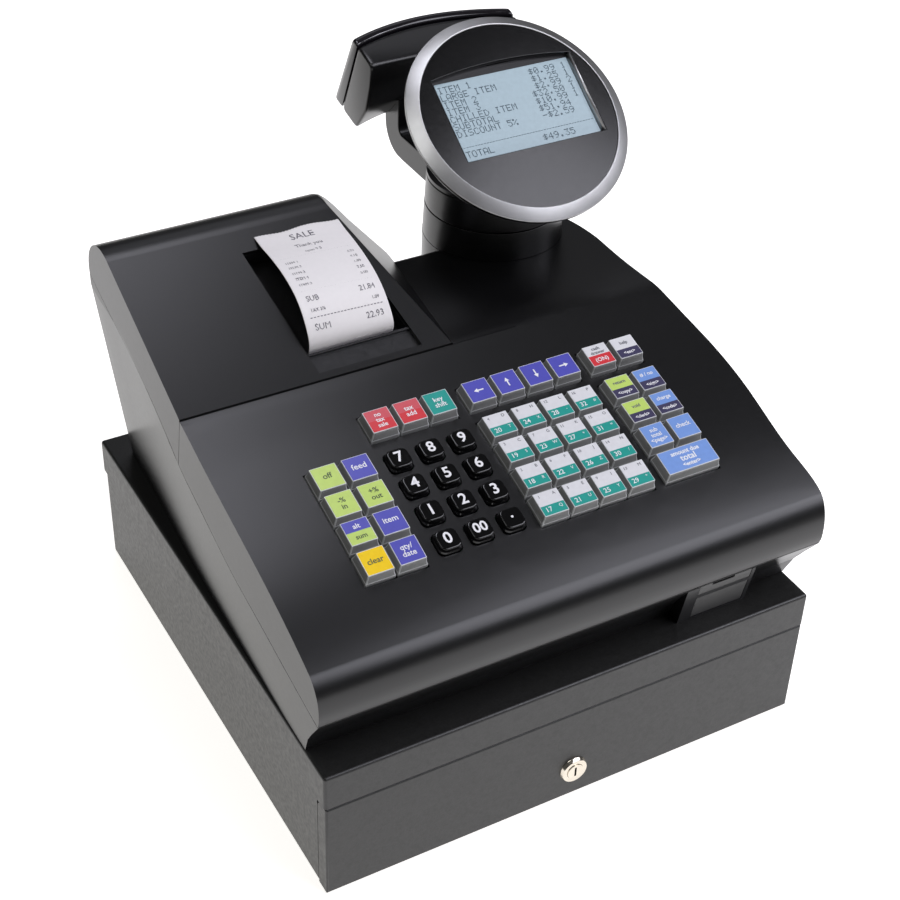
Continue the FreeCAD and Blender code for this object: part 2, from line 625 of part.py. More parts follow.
def make_case_details():
    x0, x1 = DOOR_X
    y, z = DOOR_PIVOT
    (low_y, low_z), (high_y, high_z) = DOOR_LOW, DOOR_HIGH
    panel = prism_x([(low_y, low_z), (high_y, high_z), (high_y + DOOR_THICK, high_z + 0.2),
                     (low_y + DOOR_THICK, low_z + 0.4)], x0 + 0.4, x1 - 0.4)
    notch = box(x0 + 9.5, x0 + 26, high_y - 2, high_y + 5, high_z - 4.2, high_z + 2)
    pins = rod_x(x0 - 1.0, x1 + 1.0, y, z, DOOR_PIN_RADIUS)
    save("compartment_door", join([cut(panel, [notch]), pins]))

    ix, iz = INLET
    flange = rod_y(326.4, 330, ix, iz, INLET_RADIUS + 4)
    gland = join([flange, rod_y(312, 327, ix, iz, INLET_RADIUS)])
    save("power_inlet", cut(gland, [rod_y(310, 335, ix, iz, 3.4)]))

    screws = []
    for x, y in CASE_SCREWS:
        head_top = CABINET_TOP - SHEET
        head = cone_z(head_top - 2.4, head_top, x, y, 3.0, 3.6)
        shaft = rod_z(head_top, CABINET_TOP + 9, x, y, SCREW_RADIUS)
        cross = [box(x - 2, x + 2, y - 0.4, y + 0.4, head_top - 3, head_top - 1.2),
                 box(x - 0.4, x + 0.4, y - 2, y + 2, head_top - 3, head_top - 1.2)]
        screws.append(cut(join([head, shaft]), cross))
    save("case_screws", group(screws))

    board = box(-130, 50, 40, 160, MAIN_BOARD_Z, MAIN_BOARD_Z + 1.6)
    chips = [box(-60, -36, 80, 104, 0, 3), box(-10, 12, 70, 82, 0, 3), box(-110, -90, 60, 66, 0, 9),
             box(20, 44, 130, 138, 0, 10), box(-112, -84, 130, 150, 0, 5)]
    for chip in chips:
        chip.translate(V(0, 0, MAIN_BOARD_Z + 1.6))
    cans = [rod_z(MAIN_BOARD_Z + 1.6, MAIN_BOARD_Z + 14, x, 120, 5) for x in (-20, 0, 20)]
    save("main_board", join([board] + chips + cans))

    core = box(64, 124, 236, 276, CABINET_TOP + WALL, CABINET_TOP + WALL + 44)
    windows = [box(60, 130, 246, 266, CABINET_TOP + WALL + 9, CABINET_TOP + WALL + 35)]
    winding = rounded_box(70, 118, 228, 284, CABINET_TOP + WALL + 9.5, CABINET_TOP + WALL + 34.5, 6)
    save("transformer", join([cut(core, windows), winding.common(box(0, 200, 0, 400, 0, 300))]))

    start, end = ROW_Y[0] - 14, TOP_ROW_Y + 14
    angle = math.atan2(deck_height(end) - deck_height(start), end - start)
    plate = box(-120, 128, 0, (end - start) / math.cos(angle), -1.6, 0)
    strip = box(-100, -40, 40, 48, -6, -1.6)
    plate = join([plate, strip])
    plate.rotate(V(0, 0, 0), V(1, 0, 0), math.degrees(angle))
    plate.translate(V(0, start, deck_height(start) - KEY_BOARD_DEPTH))
    save("key_board", plate)


def make_insert():
    """The tray in the cover's window, with the tear bar across its front and the paper slot behind it."""
    tub = cover_prism(RECESS, 2.0, -RECESS_DEPTH - 2.0, -WALL - 0.05)
    hollow = cover_prism(RECESS, 0, -RECESS_DEPTH, 5)
    bar = cover_box(-78.0, -4.0, 5.0, SLOT[0] - 0.5, -8.0, -2.6).common(hollow)
    teeth = cover_box(-76.0, -6.0, SLOT[0] - 2.0, SLOT[0] - 0.5, -2.7, -0.8).common(hollow)
    slot = cover_box(PAPER_X[0] - 1, PAPER_X[1] + 1, *SLOT, -40, 0)
    save("tear_bar", cut(join([cut(tub, [hollow]), bar, teeth]), [slot]))


def make_receipt():
    """The printed strip that curls up out of the slot and back over the cover."""
    def ribbon(lift):
        start, top, end = (SLOT[0] + 1.2, -9.0), (56.0, 15.0), (112.0, 1.2)
        return [cover_point(s + lift * 0.3, h + lift) for s, h in (start, (28.0, 7.0), top, end)]
    low, high = ribbon(0), ribbon(PAPER_THICK)
    edges = [spline(low), spline(high), line(low[0], high[0]), line(low[-1], high[-1])]
    face = outline_face(edges)
    face.translate(V(PAPER_X[0], 0, 0))
    save("receipt_strip", face.extrude(V(PAPER_X[1] - PAPER_X[0], 0, 0)))


def gear_x(teeth, x0, x1, y, z, bore, phase):
    """A spur gear on an axis along X, with straight-sided teeth and a little backlash."""
    pitch = GEAR_MODULE * teeth / 2
    step = 2 * math.pi / teeth
    points = []
    for i in range(teeth):
        for offset, radius in ((-0.27, pitch - 1.15), (-0.11, pitch + 0.8), (0.11, pitch + 0.8), (0.27, pitch - 1.15)):
            angle = phase + (i + offset) * step
            points.append((y + radius * math.cos(angle), z + radius * math.sin(angle)))
    wheel = prism_x(points, x0, x1)
    return wheel if bore is None else cut(wheel, [rod_x(x0 - 1, x1 + 1, y, z, bore)])


def make_printer():
    y, z = PLATEN_CENTRE
    roll_y, roll_z = ROLL_CENTRE
    left, right = PRINTER_X
    mesh = math.radians(-45)
    distance = GEAR_MODULE * (PLATEN_TEETH + PINION_TEETH) / 2
    pinion_y = y + distance * math.cos(mesh)
    pinion_z = z + distance * math.sin(mesh)
    outline = [(204, PRINTER_BASE_Z), (204, 206), (222, 206), (230, 184), (292, 184), (292, PRINTER_BASE_Z)]
    base = box(-100, 10, 200, 292, PRINTER_BASE_Z, PRINTER_BASE_Z + 2)
    sides = [prism_x(outline, left, left + 2), prism_x(outline, right - 2, right)]
    half_ring = cut(rod_x(left, right, roll_y, roll_z, ROLL_RADIUS + 2.4), [
        rod_x(left - 1, right + 1, roll_y, roll_z, ROLL_RADIUS + 0.4), box(-200, 200, 0, 400, roll_z - 8, 400)])
    rib = box(left, right, roll_y - 1, roll_y + 1, PRINTER_BASE_Z, roll_z - ROLL_RADIUS - 1)
    head = box(left, right, 204, 206.2, 190, 205)
    frame = join([base, half_ring, rib, head] + sides)
    shaft_hole = rod_x(-200, 50, y, z, 2.55)
    pinion_hole = rod_x(right - 5, 50, pinion_y, pinion_z, 1.6)
    clear_roll = rod_x(left, right, roll_y, roll_z, ROLL_RADIUS + 0.4)
    save("printer_frame", cut(frame, [shaft_hole, pinion_hole, clear_roll]))

    rubber = rod_x(left + 3, right - 3, y, z, PLATEN_RADIUS)
    shaft = rod_x(left - 3, right + 6, y, z, 2.5)
    save("platen_roller", join([rubber, shaft]))
    save("platen_gear", gear_x(PLATEN_TEETH, right + 1, right + 5, y, z, 2.5, mesh))
    pinion = gear_x(PINION_TEETH, right + 1, right + 5, pinion_y, pinion_z, None, mesh + math.pi + math.pi / PINION_TEETH)
    save("motor_pinion", join([pinion, rod_x(right - 12, right + 1, pinion_y, pinion_z, 1.5)]))
    motor = cut(rod_x(right - 32, right - 2, pinion_y, pinion_z, 8.5), [
        rod_x(right - 13, right, pinion_y, pinion_z, 1.55)])
    save("feed_motor", motor)
    roll = cut(rod_x(*PAPER_X, roll_y, roll_z, ROLL_RADIUS), [rod_x(-200, 50, roll_y, roll_z, 6)])
    save("paper_roll", roll)


# ---- display tower ---------------------------------------------------------------------------
def make_tower(case):
    low, high = COLLAR_Z
    foot = cone_z(COLUMN_BASE_Z - 4, low - 0.3, TOWER_X, TOWER_Y, COLUMN_RADIUS, COLUMN_RADIUS - 1.1)
    foot = foot.cut(rod_z(COLUMN_BASE_Z - 5, low - 3.3, TOWER_X, TOWER_Y, COLUMN_RADIUS - 3.6))
    foot = foot.cut(case).cut(rod_z(COLUMN_BASE_Z - 10, COLUMN_BASE_Z, TOWER_X, TOWER_Y, 60))
    tube = rod_z(low - 3.3, high - 0.4, TOWER_X, TOWER_Y, TUBE_RADIUS)
    bore = rod_z(low - 10, high + 5, TOWER_X, TOWER_Y, TUBE_RADIUS - TUBE_WALL)
    foot = max(foot.Solids, key=lambda solid: solid.Volume)
    save("display_column", cut(join([foot, tube]), [bore]))

    ring = cone_z(low, high, TOWER_X, TOWER_Y, COLUMN_RADIUS - 1.2, COLUMN_RADIUS - 2.0)
    hollow = rod_z(low - 1, high - 2.5, TOWER_X, TOWER_Y, COLUMN_RADIUS - 4.6).cut(
        rod_z(low - 1, high, TOWER_X, TOWER_Y, TUBE_RADIUS + 3.5))
    spindle = rod_z(low - 5, high + 5, TOWER_X, TOWER_Y, TUBE_RADIUS + SWIVEL_GAP)
    arm = arm_solid(0).cut(rod_z(low - 30, high + 40, TOWER_X, TOWER_Y, COLUMN_RADIUS - 4))
    save("customer_arm", cut(join([cut(ring, [hollow]), arm]), [spindle]))

    neck = join([rod_z(high + 0.3, high + 2.8, TOWER_X, TOWER_Y, COLUMN_RADIUS - 2.2),
                 rod_z(low + 2, high + 1, TOWER_X, TOWER_Y, TUBE_RADIUS - TUBE_WALL - SWIVEL_GAP)])
    lugs = []
    tilt_y, tilt_z = TILT_AXIS
    for side in (-1, 1):
        inner_x, outer_x = TOWER_X + side * 14.4, TOWER_X + side * 20.4
        x0, x1 = min(inner_x, outer_x), max(inner_x, outer_x)
        lugs += [box(x0, x1, tilt_y - 8, tilt_y + 8, high + 1, tilt_z), rod_x(x0, x1, tilt_y, tilt_z, 8)]
    pin_hole = rod_x(TOWER_X - 40, TOWER_X + 40, tilt_y, tilt_z, TILT_PIN_RADIUS)
    hollow = rod_z(low, high - 1, TOWER_X, TOWER_Y, TUBE_RADIUS - TUBE_WALL - SWIVEL_GAP - 3)
    save("swivel_neck", cut(join([neck] + lugs), [pin_hole, hollow]))
    pin = rod_x(TOWER_X - 22, TOWER_X + 22, tilt_y, tilt_z, TILT_PIN_RADIUS)
    save("tilt_pin", pin)


def arm_solid(gap):
    """The bent arm that carries the customer display behind the column."""
    low, high = COLLAR_Z[0] + 2.0 - gap, COLLAR_Z[1] + gap
    front, rear = 389.0 - gap, 409.0 + gap
    top = 290.0
    bend = 22.0
    corner = bend * (1 - math.sqrt(0.5))
    neck = 6.0
    inner = neck * (1 - math.sqrt(0.5))
    edges = [
        line((TOWER_Y, low), (rear - bend, low)),
        arc((rear - bend, low), (rear - corner, low + corner), (rear, low + bend)),
        line((rear, low + bend), (rear, top)), line((rear, top), (front, top)),
        line((front, top), (front, high + neck)),
        arc((front, high + neck), (front - inner, high + inner), (front - neck, high)),
        line((front - neck, high), (TOWER_Y, high)), line((TOWER_Y, high), (TOWER_Y, low))]
    face = outline_face(edges)
    face.translate(V(TOWER_X - 32.0 - gap, 0, 0))
    return face.extrude(V(64.0 + 2 * gap, 0, 0))


# One end of the customer display, as (y, z, how far the middle bows back from it).
POD_FRONT = [(373.0, 320.5, 1.0), (374.8, 306.0, 3.0), (380.7, 284.0, 9.0), (396.0, 264.0, 16.0)]
POD_SEAM = [(417.8, 269.5, POD_REAR_SAG), (392.7, 326.9, POD_REAR_SAG)]
POD_BACK = [(428.9, 272.4, POD_REAR_SAG), (400.2, 329.4, POD_REAR_SAG)]


def pod_loft(outline, half_length):
    sections = []
    for u in (-1.0, -0.5, 0.0, 0.5, 1.0):
        bow = 1 - (u * half_length / POD_HALF_LENGTH) ** 2
        corners = [V(TOWER_X + u * half_length, y + sag * bow, z) for y, z, sag in outline]
        sections.append(Part.makePolygon(corners + corners[:1]))
    return Part.makeLoft(sections, True, False)


def make_customer_display():
    body = pod_loft(POD_FRONT + POD_SEAM, POD_HALF_LENGTH)
    inside = [(y + dy, z + dz, sag) for (y, z, sag), (dy, dz) in zip(
        POD_FRONT, ((2.5, -2.5), (2.5, 0.0), (2.2, 1.5), (1.0, 3.0)))]
    seam_in = [(424.0, 274.0, POD_REAR_SAG), (399.0, 326.0, POD_REAR_SAG)]
    hollow = pod_loft(inside + seam_in, POD_HALF_LENGTH - 2.5)
    save("customer_body", cut(body, [hollow, arm_solid(0.05)]).removeSplitter())
    back = pod_loft([POD_SEAM[1], POD_SEAM[0], POD_BACK[0], POD_BACK[1]], POD_HALF_LENGTH)
    save("customer_window", back)


def head_place(shape):
    placed = shape.copy()
    placed.Placement = FreeCAD.Placement(
        V(*HEAD_CENTRE), FreeCAD.Rotation(V(1, 0, 0), math.degrees(HEAD_TILT)))
    return placed


def turned(points):
    """Turn an (r, z) outline round the head's own axis."""
    corners = [V(r, 0, z) for r, z in points]
    face = Part.Face(Part.makePolygon(corners + corners[:1]))
    return face.revolve(V(0, 0, 0), V(0, 0, 1), 360)


def make_head():
    rim = BEZEL_RADIUS - 0.4
    bowl = [(0, -24), (42, -24), (60, -19), (71, -10), (rim, -1.5), (rim, 0), (0, 0)]
    hollow = [(0, -21.5), (41, -21.5), (58.5, -16.7), (69, -8.4), (rim - 2.8, -0.8), (rim - 2.8, 1), (0, 1)]
    room = head_place(turned(hollow))
    tilt_y, tilt_z = TILT_AXIS
    knuckle = join([box(TOWER_X - 14, TOWER_X + 14, tilt_y - 8, tilt_y + 8, tilt_z, tilt_z + 24),
                    rod_x(TOWER_X - 14, TOWER_X + 14, tilt_y, tilt_z, 8)])
    shell = join([head_place(turned(bowl)), knuckle]).cut(room)
    shell = max(shell.Solids, key=lambda solid: solid.Volume)
    pin_hole = rod_x(TOWER_X - 40, TOWER_X + 40, tilt_y, tilt_z, TILT_PIN_RADIUS + 0.05)
    save("head_shell", cut(shell, [pin_hole]))

    top = FACE_RADIUS
    ring = [(BEZEL_RADIUS, 0), (BEZEL_RADIUS, 1.2), (top + 0.8, BEZEL_HEIGHT), (top - 1.4, BEZEL_HEIGHT),
            (top - 1.4, 3.6), (BEZEL_RADIUS - 5, 0)]
    save("bezel_ring", head_place(turned(ring)))

    panel = turned([(0, 3.0), (top - 3.0, 3.0), (top - 1.6, 4.2), (top - 1.6, 5.0), (0, 5.0)])
    window = box(LCD_U[0], LCD_U[1], LCD_V[0], LCD_V[1], 0, 10)
    save("face_panel", head_place(cut(panel, [window])))
    lcd = box(LCD_U[0] - 5, LCD_U[1] + 5, LCD_V[0] - 5, LCD_V[1] + 5, -3.0, 2.9)
    glass = box(LCD_U[0] + 1.5, LCD_U[1] - 1.5, LCD_V[0] + 1.5, LCD_V[1] - 1.5, 2.8, 3.6)
    save("lcd_module", head_place(join([lcd, glass])))


# ---- keys ------------------------------------------------------------------------------------
def legend_key(x, y, width=CAP_BASE):
    """A clear-capped key: upright skirt, tapering cap and a round stem."""
    shrink = CAP_BASE - CAP_TOP
    skirt = Part.makeLoft([rectangle_wire(width, CAP_BASE, -CAP_SKIRT), rectangle_wire(width, CAP_BASE, 1.5)], True, True)
    cap = Part.makeLoft([rectangle_wire(width, CAP_BASE, 1.5),
                         rectangle_wire(width - shrink, CAP_TOP, CAP_HEIGHT)], True, True)
    stem = rod_z(STEM_END, -CAP_SKIRT + 0.5, 0, 0, STEM_RADIUS)
    return on_deck(join([skirt, cap, stem]), x, y)


def number_key(x, y):
    half = NUMBER_BASE / 2
    base = rounded_box(-half, half, -half, half, -CAP_SKIRT, 2.0, 4.0)
    shrink = (NUMBER_BASE - NUMBER_TOP) / 2
    top = rounded_box(-half + shrink, half - shrink, -half + shrink, half - shrink, 1.0, NUMBER_HEIGHT, 3.4)
    top = top.makeFillet(1.0, [edge for edge in top.Edges if edge.BoundBox.ZMin > NUMBER_HEIGHT - 0.1])
    stem = rod_z(STEM_END, -CAP_SKIRT + 0.5, 0, 0, STEM_RADIUS)
    return on_deck(join([base, top, stem]), x, y)


def make_keys():
    names = (("key_0", "key_00", "key_point"), ("key_1", "key_2", "key_3"),
             ("key_4", "key_5", "key_6"), ("key_7", "key_8", "key_9"))
    for y, row in zip(ROW_Y, names):
        for x, name in zip(NUMBER_X, row):
            save(name, number_key(x, y))
    save("left_function_keys", group([legend_key(x, y) for x in LEFT_X for y in ROW_Y]))
    save("top_row_keys", group([legend_key(x, TOP_ROW_Y) for x in TAX_X + ARROW_X]))
    save("department_keys", group([legend_key(x, y) for x in DEPARTMENT_X for y in ROW_Y]))
    tender = [legend_key(x, y) for x in TENDER_X for y in ROW_Y[1:] + (TOP_ROW_Y,)]
    save("tender_keys", group(tender))
    save("total_key", legend_key(TOTAL_CENTRE_X, ROW_Y[0], TOTAL_WIDTH))


def main():
    os.makedirs("parts", exist_ok=True)
    make_cabinet()
    make_runners()
    make_drawer()
    make_latch()
    case = make_case()
    make_case_details()
    make_insert()
    make_receipt()
    make_printer()
    make_tower(case)
    make_customer_display()
    make_head()
    make_keys()


main()
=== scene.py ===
import json
import math
import bpy
import bmesh
from mathutils import Matrix, Vector


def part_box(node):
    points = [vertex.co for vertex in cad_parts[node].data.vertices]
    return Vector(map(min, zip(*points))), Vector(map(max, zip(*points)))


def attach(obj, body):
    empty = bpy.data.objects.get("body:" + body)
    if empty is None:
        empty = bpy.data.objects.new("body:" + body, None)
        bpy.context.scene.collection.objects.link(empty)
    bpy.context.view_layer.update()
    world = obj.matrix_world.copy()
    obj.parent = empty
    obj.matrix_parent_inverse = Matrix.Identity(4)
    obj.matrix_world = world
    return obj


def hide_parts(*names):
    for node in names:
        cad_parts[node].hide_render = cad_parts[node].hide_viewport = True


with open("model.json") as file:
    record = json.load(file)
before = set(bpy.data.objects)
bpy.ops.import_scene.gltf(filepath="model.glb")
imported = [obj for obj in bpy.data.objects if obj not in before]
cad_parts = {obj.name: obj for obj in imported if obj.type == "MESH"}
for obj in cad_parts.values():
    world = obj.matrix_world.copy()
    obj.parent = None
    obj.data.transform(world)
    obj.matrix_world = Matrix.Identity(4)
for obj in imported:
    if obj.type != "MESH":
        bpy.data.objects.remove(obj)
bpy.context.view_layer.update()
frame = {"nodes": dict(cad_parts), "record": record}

MM = 0.001
cover_low, cover_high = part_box("cabinet_cover")
FRONT_CENTRE = Vector(((cover_low.x + cover_high.x) / 2, cover_low.y, 0.0))

# ---- sizes in millimetres, in the frame of the cabinet's front -------------------------------
ROW_Y = (60.6, 80.6, 100.4, 120.2)
TOP_ROW_Y = 147.3
LEFT_X = (-106.9, -86.5)
NUMBER_X = (-60.0, -38.8, -17.6)
TAX_X = (-59.2, -39.2, -19.2)
ARROW_X = (8.1, 28.3, 48.5, 68.7)
DEPARTMENT_X = (7.7, 27.8, 47.9, 68.0)
TENDER_X = (95.0, 115.2)
TOTAL_X = 105.1
TOTAL_WIDTH = 39.4
CAP_BASE = 19.2
CAP_TOP = 16.4
CAP_HEIGHT = 7.4
CARD = 15.6
CARD_BORDER_WIDTH = 0.3
WORDS_HEIGHT = CAP_HEIGHT + 0.1
INK_THICKNESS = 0.12
CAP_CORNER = 0.75
CAP_CORNER_STEPS = 3
DECK_CURVE = (155.22, 0.53354, -0.0022534, 0.0000063808)
TOWER_X = 112.4
HEAD_CENTRE = (TOWER_X, 283.7, 309.1)
HEAD_TILT = math.radians(34.0)
COVER_FRONT = (0.0, 189.4, 218.2)
COVER_SLOPE = math.radians(24.6)
PAPER_X = (-74.6, -16.6)
PAPER_WIDTH = PAPER_X[1] - PAPER_X[0]
FACE_RADIUS = 68.2
FACE_HEIGHT = 5.0
FACE_THICKNESS = 4.0
GLASS_HEIGHT = 1.2


# ---- places ----------------------------------------------------------------------------------
def at(x, y, z):
    """A point in millimetres from the middle of the cabinet's front, in the row frame."""
    return Vector((x, y, z)) * MM + FRONT_CENTRE


def deck_height(y):
    """The key deck's height, a cubic in the distance behind the cabinet's front."""
    return sum(factor * y ** power for power, factor in enumerate(DECK_CURVE))


def deck_angle(y):
    slope = sum(power * factor * y ** (power - 1) for power, factor in enumerate(DECK_CURVE) if power)
    return math.atan(slope)


def placed(origin, turn_x):
    """The matrix that takes millimetres in a tilted local frame into the row frame."""
    return Matrix.Translation(origin) @ Matrix.Rotation(turn_x, 4, "X") @ Matrix.Scale(MM, 4)


def on_deck(x, y):
    return placed(at(x, y, deck_height(y)), deck_angle(y))


def shifted(place, x, y, z):
    return place @ Matrix.Translation((x, y, z))


HEAD = placed(at(*HEAD_CENTRE), HEAD_TILT)
COVER = placed(at(*COVER_FRONT), COVER_SLOPE)


# ---- materials -------------------------------------------------------------------------------
def srgb(red, green, blue):
    def linear(value):
        value /= 255.0
        return value / 12.92 if value <= 0.04045 else ((value + 0.055) / 1.055) ** 2.4
    return (linear(red), linear(green), linear(blue), 1.0)


def scaled(colour, amount):
    return tuple(min(1.0, c * amount) for c in colour[:3]) + (1.0,)


class Surface:
    """A node material whose colour, roughness and relief come from noise at real sizes."""

    def __init__(self, name, roughness=0.5, metallic=0.0, specular=0.5, coat=0.0, coat_roughness=0.1):
        self.material = bpy.data.materials.new(name)
        self.material.use_nodes = True
        self.nodes = self.material.node_tree.nodes
        self.links = self.material.node_tree.links
        self.shader = self.nodes["Principled BSDF"]
        self.shader.inputs["Roughness"].default_value = roughness
        self.shader.inputs["Metallic"].default_value = metallic
        self.shader.inputs["Specular IOR Level"].default_value = specular
        self.shader.inputs["Coat Weight"].default_value = coat
        self.shader.inputs["Coat Roughness"].default_value = coat_roughness
        self.coordinates = self.nodes.new("ShaderNodeTexCoord")
        self.normal = None

    def noise(self, size_mm, detail=2.0, stretch=(1.0, 1.0, 1.0)):
        mapping = self.nodes.new("ShaderNodeMapping")
        mapping.inputs["Scale"].default_value = stretch
        self.links.new(self.coordinates.outputs["Object"], mapping.inputs["Vector"])
        texture = self.nodes.new("ShaderNodeTexNoise")
        texture.inputs["Scale"].default_value = 1.0 / (size_mm * MM)
        texture.inputs["Detail"].default_value = detail
        self.links.new(mapping.outputs["Vector"], texture.inputs["Vector"])
        return texture.outputs["Fac"]

    def cells(self, size_mm):
        texture = self.nodes.new("ShaderNodeTexVoronoi")
        texture.inputs["Scale"].default_value = 1.0 / (size_mm * MM)
        self.links.new(self.coordinates.outputs["Object"], texture.inputs["Vector"])
        return texture.outputs["Distance"]

    def ramp(self, source, dark, light):
        ramp = self.nodes.new("ShaderNodeValToRGB")
        for end, position, colour in zip(ramp.color_ramp.elements, (0.3, 0.7), (dark, light)):
            end.position = position
            end.color = colour
        self.links.new(source, ramp.inputs["Fac"])
        return ramp.outputs["Color"]

    def span(self, source, low, high, start=0.3, end=0.7):
        span = self.nodes.new("ShaderNodeMapRange")
        span.inputs["From Min"].default_value = start
        span.inputs["From Max"].default_value = end
        span.inputs["To Min"].default_value = low
        span.inputs["To Max"].default_value = high
        self.links.new(source, span.inputs["Value"])
        return span.outputs["Result"]

    def colour(self, base, size_mm, spread):
        """The base colour, darker and lighter by spread over clouds of this size."""
        tint = self.ramp(self.noise(size_mm, 3.0), scaled(base, 1 - spread), scaled(base, 1 + spread))
        self.links.new(tint, self.shader.inputs["Base Color"])

    def sheen_spread(self, low, high, size_mm, stretch=(1.0, 1.0, 1.0)):
        sheen = self.span(self.noise(size_mm, 4.0, stretch), low, high)
        self.links.new(sheen, self.shader.inputs["Roughness"])

    def see_through(self, facing, edge):
        """Clearer where the surface faces the eye, as clear plastic is."""
        weight = self.nodes.new("ShaderNodeLayerWeight")
        weight.inputs["Blend"].default_value = 0.4
        alpha = self.span(weight.outputs["Facing"], facing, edge, 0.0, 1.0)
        self.links.new(alpha, self.shader.inputs["Alpha"])

    def relief(self, source, depth_mm, strength):
        """Raises the surface by the source; a second relief is laid over the first."""
        bump = self.nodes.new("ShaderNodeBump")
        bump.inputs["Strength"].default_value = strength
        bump.inputs["Distance"].default_value = depth_mm * MM
        self.links.new(source, bump.inputs["Height"])
        if self.normal is not None:
            self.links.new(self.normal, bump.inputs["Normal"])
        self.normal = bump.outputs["Normal"]
        self.links.new(self.normal, self.shader.inputs["Normal"])


def moulded(name, colour, low, high, grain_mm, depth_mm, specular=0.5):
    """Moulded plastic with a fine spark-eroded grain. Its roughness lies between low and high."""
    surface = Surface(name, specular=specular)
    surface.colour(colour, 3.0, 0.08)
    surface.sheen_spread(low, high, 3.0)
    surface.relief(surface.noise(grain_mm, 2.0), depth_mm, 0.15)
    return surface.material


def powder_coat(name, colour):
    """Painted sheet steel with an orange-peel relief."""
    surface = Surface(name)
    surface.colour(colour, 1.1, 0.3)
    surface.sheen_spread(0.34, 0.46, 3.0)
    surface.relief(surface.noise(0.9, 3.0), 0.05, 0.6)
    surface.relief(surface.cells(1.7), 0.025, 0.4)
    return surface.material


def rubbed_metal(name, colour, low, high, stretch=(1.0, 1.0, 14.0), scratch_mm=1.2):
    """Metal with fine scratches, drawn out along the stretch."""
    surface = Surface(name, metallic=1.0)
    surface.colour(colour, 12.0, 0.06)
    surface.sheen_spread(low, high, scratch_mm, stretch)
    surface.relief(surface.noise(scratch_mm, 3.0, stretch), 0.006, 0.5)
    return surface.material


def printed(name, colour, roughness, spread, coat=0.0):
    """Paper, card or ink."""
    surface = Surface(name, roughness=roughness, coat=coat, coat_roughness=0.06)
    surface.colour(colour, 3.0, spread)
    surface.relief(surface.noise(0.4), 0.004, 0.4)
    return surface.material


def smooth_plastic(name, colour):
    surface = Surface(name, roughness=0.3)
    surface.colour(colour, 5.0, 0.04)
    return surface.material


def clear_plastic(name, colour, facing, edge):
    """Clear plastic: its alpha goes from facing, seen square on, to edge, seen along it."""
    surface = Surface(name, roughness=0.16)
    surface.colour(colour, 4.0, 0.04)
    surface.relief(surface.noise(6.0), 0.01, 0.1)
    surface.see_through(facing, edge)
    return surface.material


MATERIAL = {
    "case_black": moulded("case_black", srgb(12, 12, 13), 0.29, 0.31, 1.6, 0.006),
    "powder_coat": powder_coat("powder_coat", srgb(28, 28, 27)),
    "tray_paint": moulded("tray_paint", srgb(70, 70, 74), 0.40, 0.55, 0.9, 0.02),
    "zinc_steel": rubbed_metal("zinc_steel", srgb(196, 198, 196), 0.28, 0.46),
    "nickel": rubbed_metal("nickel", srgb(214, 206, 192), 0.12, 0.22, (6.0, 1.0, 6.0), 2.0),
    "till_grey": moulded("till_grey", srgb(64, 65, 68), 0.45, 0.6, 0.8, 0.03),
    "nylon_white": moulded("nylon_white", srgb(226, 224, 214), 0.40, 0.5, 0.6, 0.01),
    "nylon_black": moulded("nylon_black", srgb(24, 24, 26), 0.3, 0.4, 0.5, 0.012),
    "foot_rubber": moulded("foot_rubber", srgb(28, 28, 28), 0.7, 0.85, 0.5, 0.03, 0.25),
    "platen_rubber": moulded("platen_rubber", srgb(40, 40, 42), 0.6, 0.7, 0.3, 0.01, 0.3),
    "silver_ring": rubbed_metal("silver_ring", srgb(184, 184, 184), 0.34, 0.4, (1.0, 1.0, 1.0), 0.5),
    "face_black": moulded("face_black", srgb(10, 10, 11), 0.13, 0.16, 0.6, 0.003),
    "smoke_lens": moulded("smoke_lens", srgb(22, 20, 24), 0.05, 0.1, 3.0, 0.002, 0.6),
    "core_steel": rubbed_metal("core_steel", srgb(120, 112, 104), 0.4, 0.6, (1.0, 1.0, 20.0), 0.8),
    "thermal_paper": printed("thermal_paper", srgb(230, 227, 226), 0.6, 0.012),
    "circuit_board": moulded("circuit_board", srgb(28, 92, 52), 0.3, 0.4, 1.5, 0.02),
    "lcd_glass": printed("lcd_glass", srgb(166, 186, 194), 0.30, 0.03),
    "key_clear": clear_plastic("key_clear", srgb(158, 159, 157), 0.45, 0.9),
    "key_black": moulded("key_black", srgb(8, 8, 9), 0.09, 0.12, 0.8, 0.003),
}
# painted highlight: the keys' rims, corners and ends get this lighter, less clear plastic to stand in for the
# light that they catch
CLEAR_EDGE_HIGHLIGHT = clear_plastic("clear_edge_painted_highlight", srgb(206, 208, 207), 0.6, 1.0)
PEDESTAL = smooth_plastic("key_pedestal", srgb(122, 122, 120))
CARD_BORDER = printed("card_border", srgb(226, 228, 230), 0.3, 0.03)
CARD_COLOUR = {
    "lime": srgb(196, 222, 112), "violet": srgb(84, 84, 184), "yellow": srgb(255, 212, 0),
    "red": srgb(216, 56, 64), "rose": srgb(212, 88, 98), "teal": srgb(36, 158, 146),
    "white": srgb(226, 226, 228), "plum": srgb(66, 62, 92), "sky": srgb(122, 158, 222),
}
CARD_PAPER = {name: printed("card_" + name, colour, 0.3, 0.03, 0.6) for name, colour in CARD_COLOUR.items()}
INK_WHITE = printed("ink_white", srgb(240, 240, 242), 0.35, 0.02)
INK_DARK = printed("ink_dark", srgb(74, 92, 64), 0.4, 0.04)
INK_GREY = printed("ink_grey", srgb(112, 114, 120), 0.5, 0.06)
INK_LCD = printed("ink_lcd", srgb(84, 100, 110), 0.4, 0.05)
INK_LENS = printed("ink_lens", srgb(60, 108, 104), 0.25, 0.08)
# painted reflection: the compartment door is given a lighter grey than the case to stand in for the bright
# reflection that it shows
DOOR_PAINTED_REFLECTION = moulded("door_painted_reflection", srgb(74, 74, 73), 0.34, 0.4, 0.45, 0.008)


